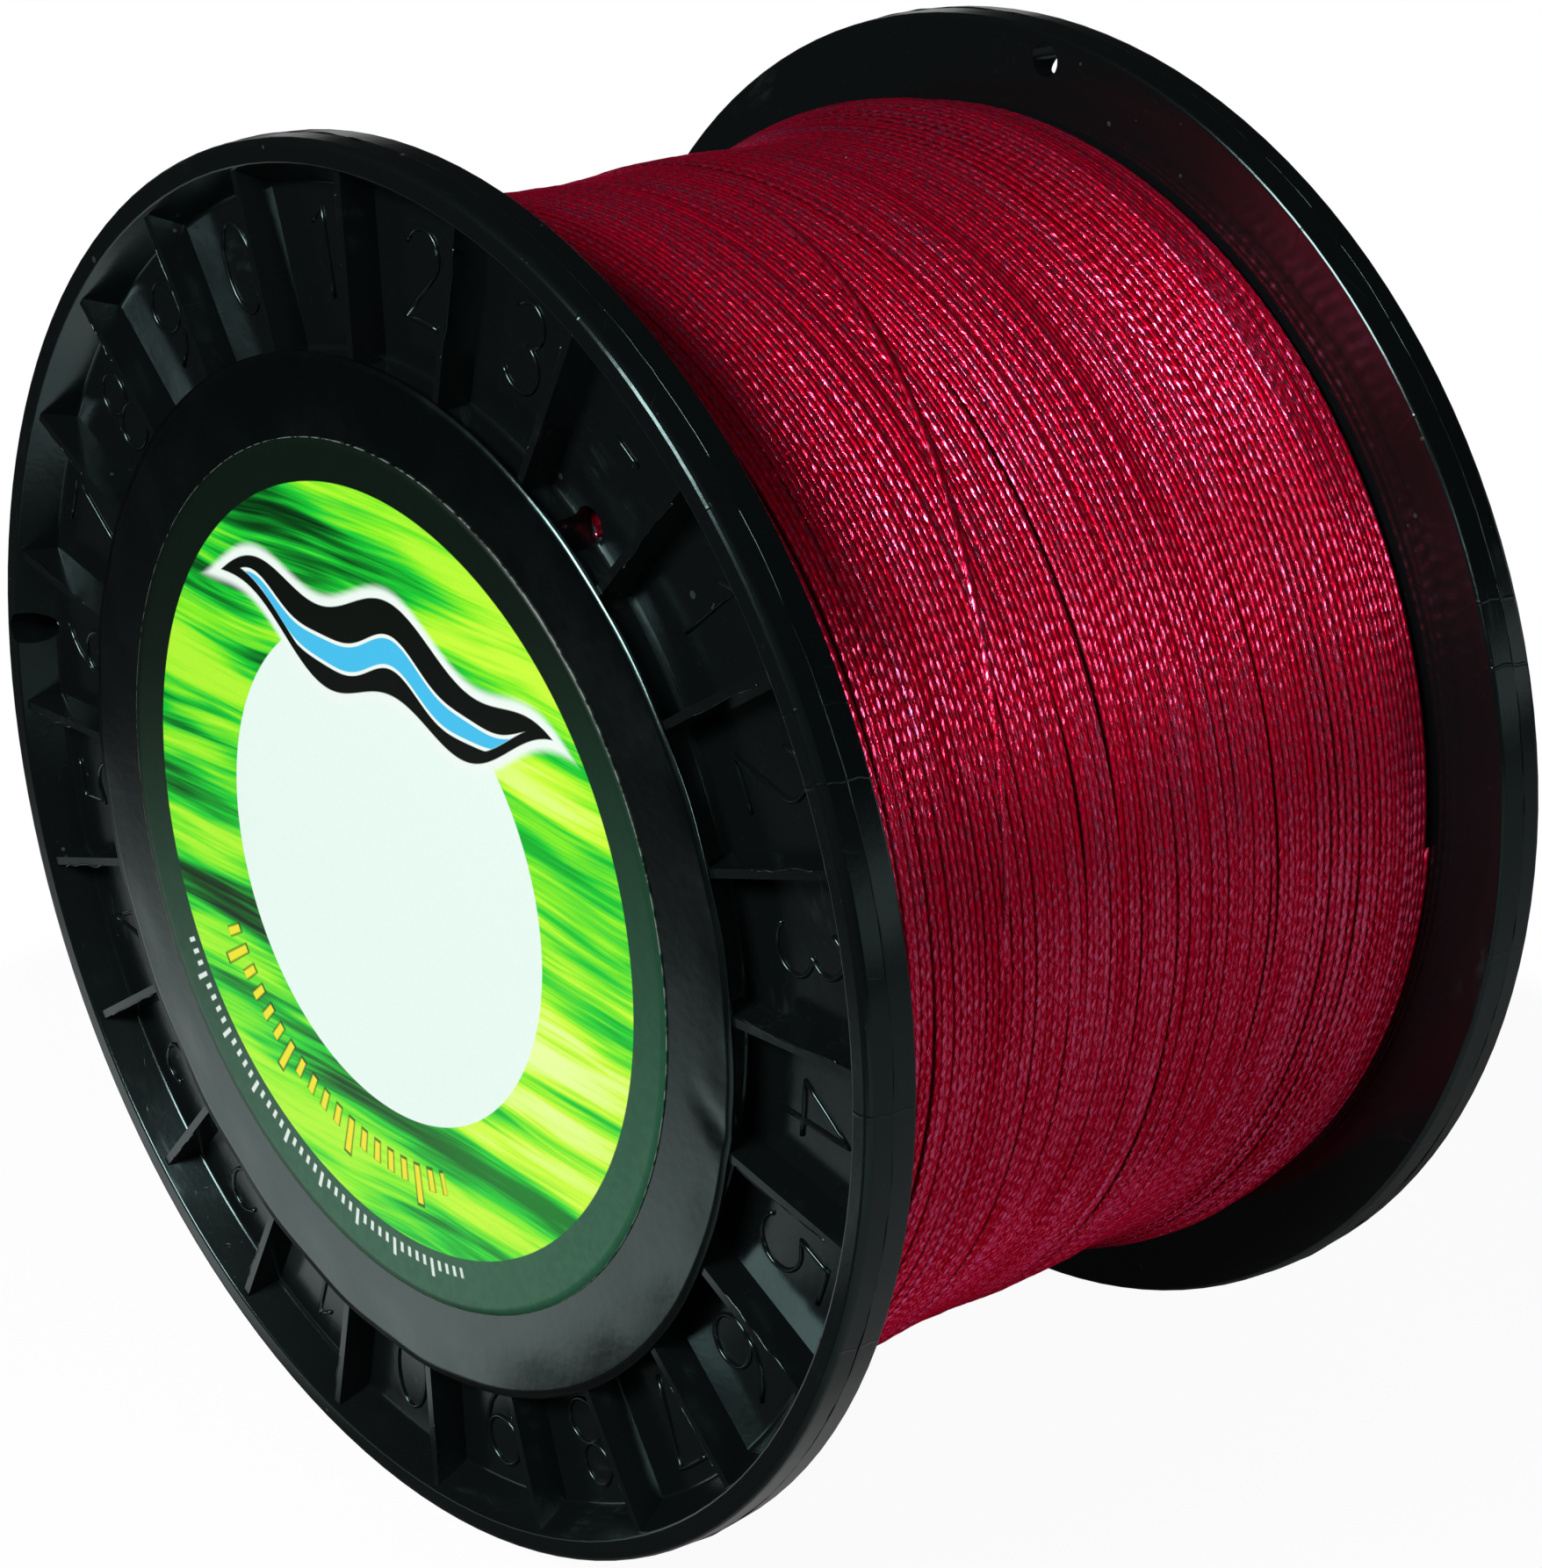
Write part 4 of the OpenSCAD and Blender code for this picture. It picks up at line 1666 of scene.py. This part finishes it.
@dataclass(frozen=True)
class Floor:
    """A pale sheet under the spool, which holds its shadow and shows white away from it.

    What the spool mirrors of it is grey, apart from a painted patch of white light in front at the
    left, a faint painted band of light at the right, and painted shade near black in front of the
    spool. The spans are where each begins or ends, along x or y.
    """

    level: float = -82.5 * MM
    half_x: float = 0.55
    front_y: float = -0.22
    back_y: float = 0.50
    paper: Tint = (0.86, 0.88, 0.88, 1.0)
    grey: Colour = (0.34, 0.34, 0.34)
    # Painted shade: the near-black that reflections see on the floor in front of the spool.
    dark: Colour = (0.04, 0.04, 0.04)
    shadow_span: Span = (0.08, 0.17)
    shadow_glow: float = 0.95
    # Painted light seen in reflections: where the white patch in front at the left and the faint
    # band at the right lie.
    pool_front: Span = (-0.180, -0.060)
    pool_glow: float = 0.84
    pool_back: Span = (-0.052, -0.066)
    pool_right: Span = (-0.006, -0.020)
    pool_left: Span = (-0.26, -0.10)
    strip_left: Span = (0.025, 0.045)
    strip_right: Span = (0.090, 0.060)
    strip_ends: Span = (0.060, 0.035)
    strip_glow: float = 0.2
    # Painted shade: where the near-black in front of the spool begins and ends.
    dark_right: Span = (0.12, 0.04)
    dark_back: Span = (-0.035, -0.055)

    def build(self) -> None:
        """Lay the floor."""
        front = [(-self.half_x, self.front_y), (self.half_x, self.front_y)]
        back = [(self.half_x, self.back_y), (-self.half_x, self.back_y)]
        mesh = bpy.data.meshes.new("floor")
        mesh.from_pydata([(x, y, self.level) for x, y in front + back], [], [(0, 1, 2, 3)])
        mesh.materials.append(self._material())
        add_object("floor", mesh)

    def _material(self) -> bpy.types.Material:
        """Build the floor's material.

        Returns:
            The material.
        """
        material, g = new_material("pale_floor")
        camera, glossy, _ = g.rays()
        x, y, _ = g.split(g.place())
        away = g.ramp(g.distance(x, y), *self.shadow_span)
        # Painted light: a white patch in front at the left and a faint band at the right, which
        # reflections see glowing.
        painted_light_pool = g.ramp(y, *self.pool_front, 0.0, self.pool_glow) * g.ramp(y, *self.pool_back)
        painted_light_pool = painted_light_pool * g.ramp(x, *self.pool_right) * g.ramp(x, *self.pool_left)
        painted_light_strip = g.ramp(x, *self.strip_left) * g.ramp(x, *self.strip_right)
        painted_light_strip = painted_light_strip * g.ramp(abs(y), *self.strip_ends)
        # Painted shade: reflections see the floor near black in front of the spool, right of the
        # lit patch.
        painted_shade = glossy * g.ramp(x, *self.dark_right) * g.ramp(y, *self.dark_back)
        grey = g.mix(painted_shade, self.grey, self.dark)
        dull = g.node("ShaderNodeBsdfDiffuse", None, {"Color": grey})
        paper = g.node("ShaderNodeBsdfDiffuse", None, {"Color": self.paper})
        white = g.node("ShaderNodeEmission", None, {"Color": WHITE, "Strength": 1.0})
        lit = g.blend(g.math("MAXIMUM", painted_light_pool, camera), dull, paper)
        share = camera * g.math("MAXIMUM", away, self.shadow_glow)
        # Painted light: reflections see the patch and the band glow white.
        share = share + glossy * (painted_light_pool + self.strip_glow * painted_light_strip)
        g.finish(g.blend(share, lit, white))
        return material


@dataclass(frozen=True)
class Camera:
    """The camera: where it stands, where it looks, which way is up, and its lens in mm."""

    eye: Place = (0.35107, -0.29010, 0.19096)
    gaze: Place = (-0.70263, 0.59332, -0.39279)
    up: Place = (-0.30010, 0.25342, 0.91963)
    focal: float = 94.6
    sensor: float = 36.0
    nearest: float = 10.0 * MM

    def build(self) -> None:
        """Place the camera."""
        data = bpy.data.cameras.new("camera")
        data.lens = self.focal
        data.sensor_width = self.sensor
        data.clip_start = self.nearest
        camera = add_object("camera", data)
        back, up = -Vector(self.gaze), Vector(self.up)
        axes = Matrix((up.cross(back), up, back)).transposed().to_4x4()
        camera.matrix_world = Matrix.Translation(self.eye) @ axes
        bpy.context.scene.camera = camera


def build_studio() -> None:
    """Set up everything that isn't part of the spool."""
    Camera().build()
    Backdrop().build()
    Floor().build()
    Softbox("front_key", (0.07, -0.86, 0.60), 0.52, 0.28, 12.1).build()
    Softbox("right_key", (0.94, -0.24, 0.45), 0.14, 0.22, 1.9).build()
    bpy.context.scene.view_settings.view_transform = "Standard"


def main() -> None:
    """Dress the spool from the flanges inwards and light it."""
    logging.basicConfig(level=logging.INFO, format="%(name)s: %(message)s")
    plastic = GlossPlastic().material()
    for end in End:
        Flange(end, plastic).build()
    dress("barrel", DullPlastic().material())
    Winding(BraidedLine().material()).build()
    paper = PrintedPaper(FrontCover.label_centre, FrontCover.label_r).material()
    FrontCover(DiscFilm().material(), paper).build()
    build_studio()


if __name__ == "__main__":
    main()
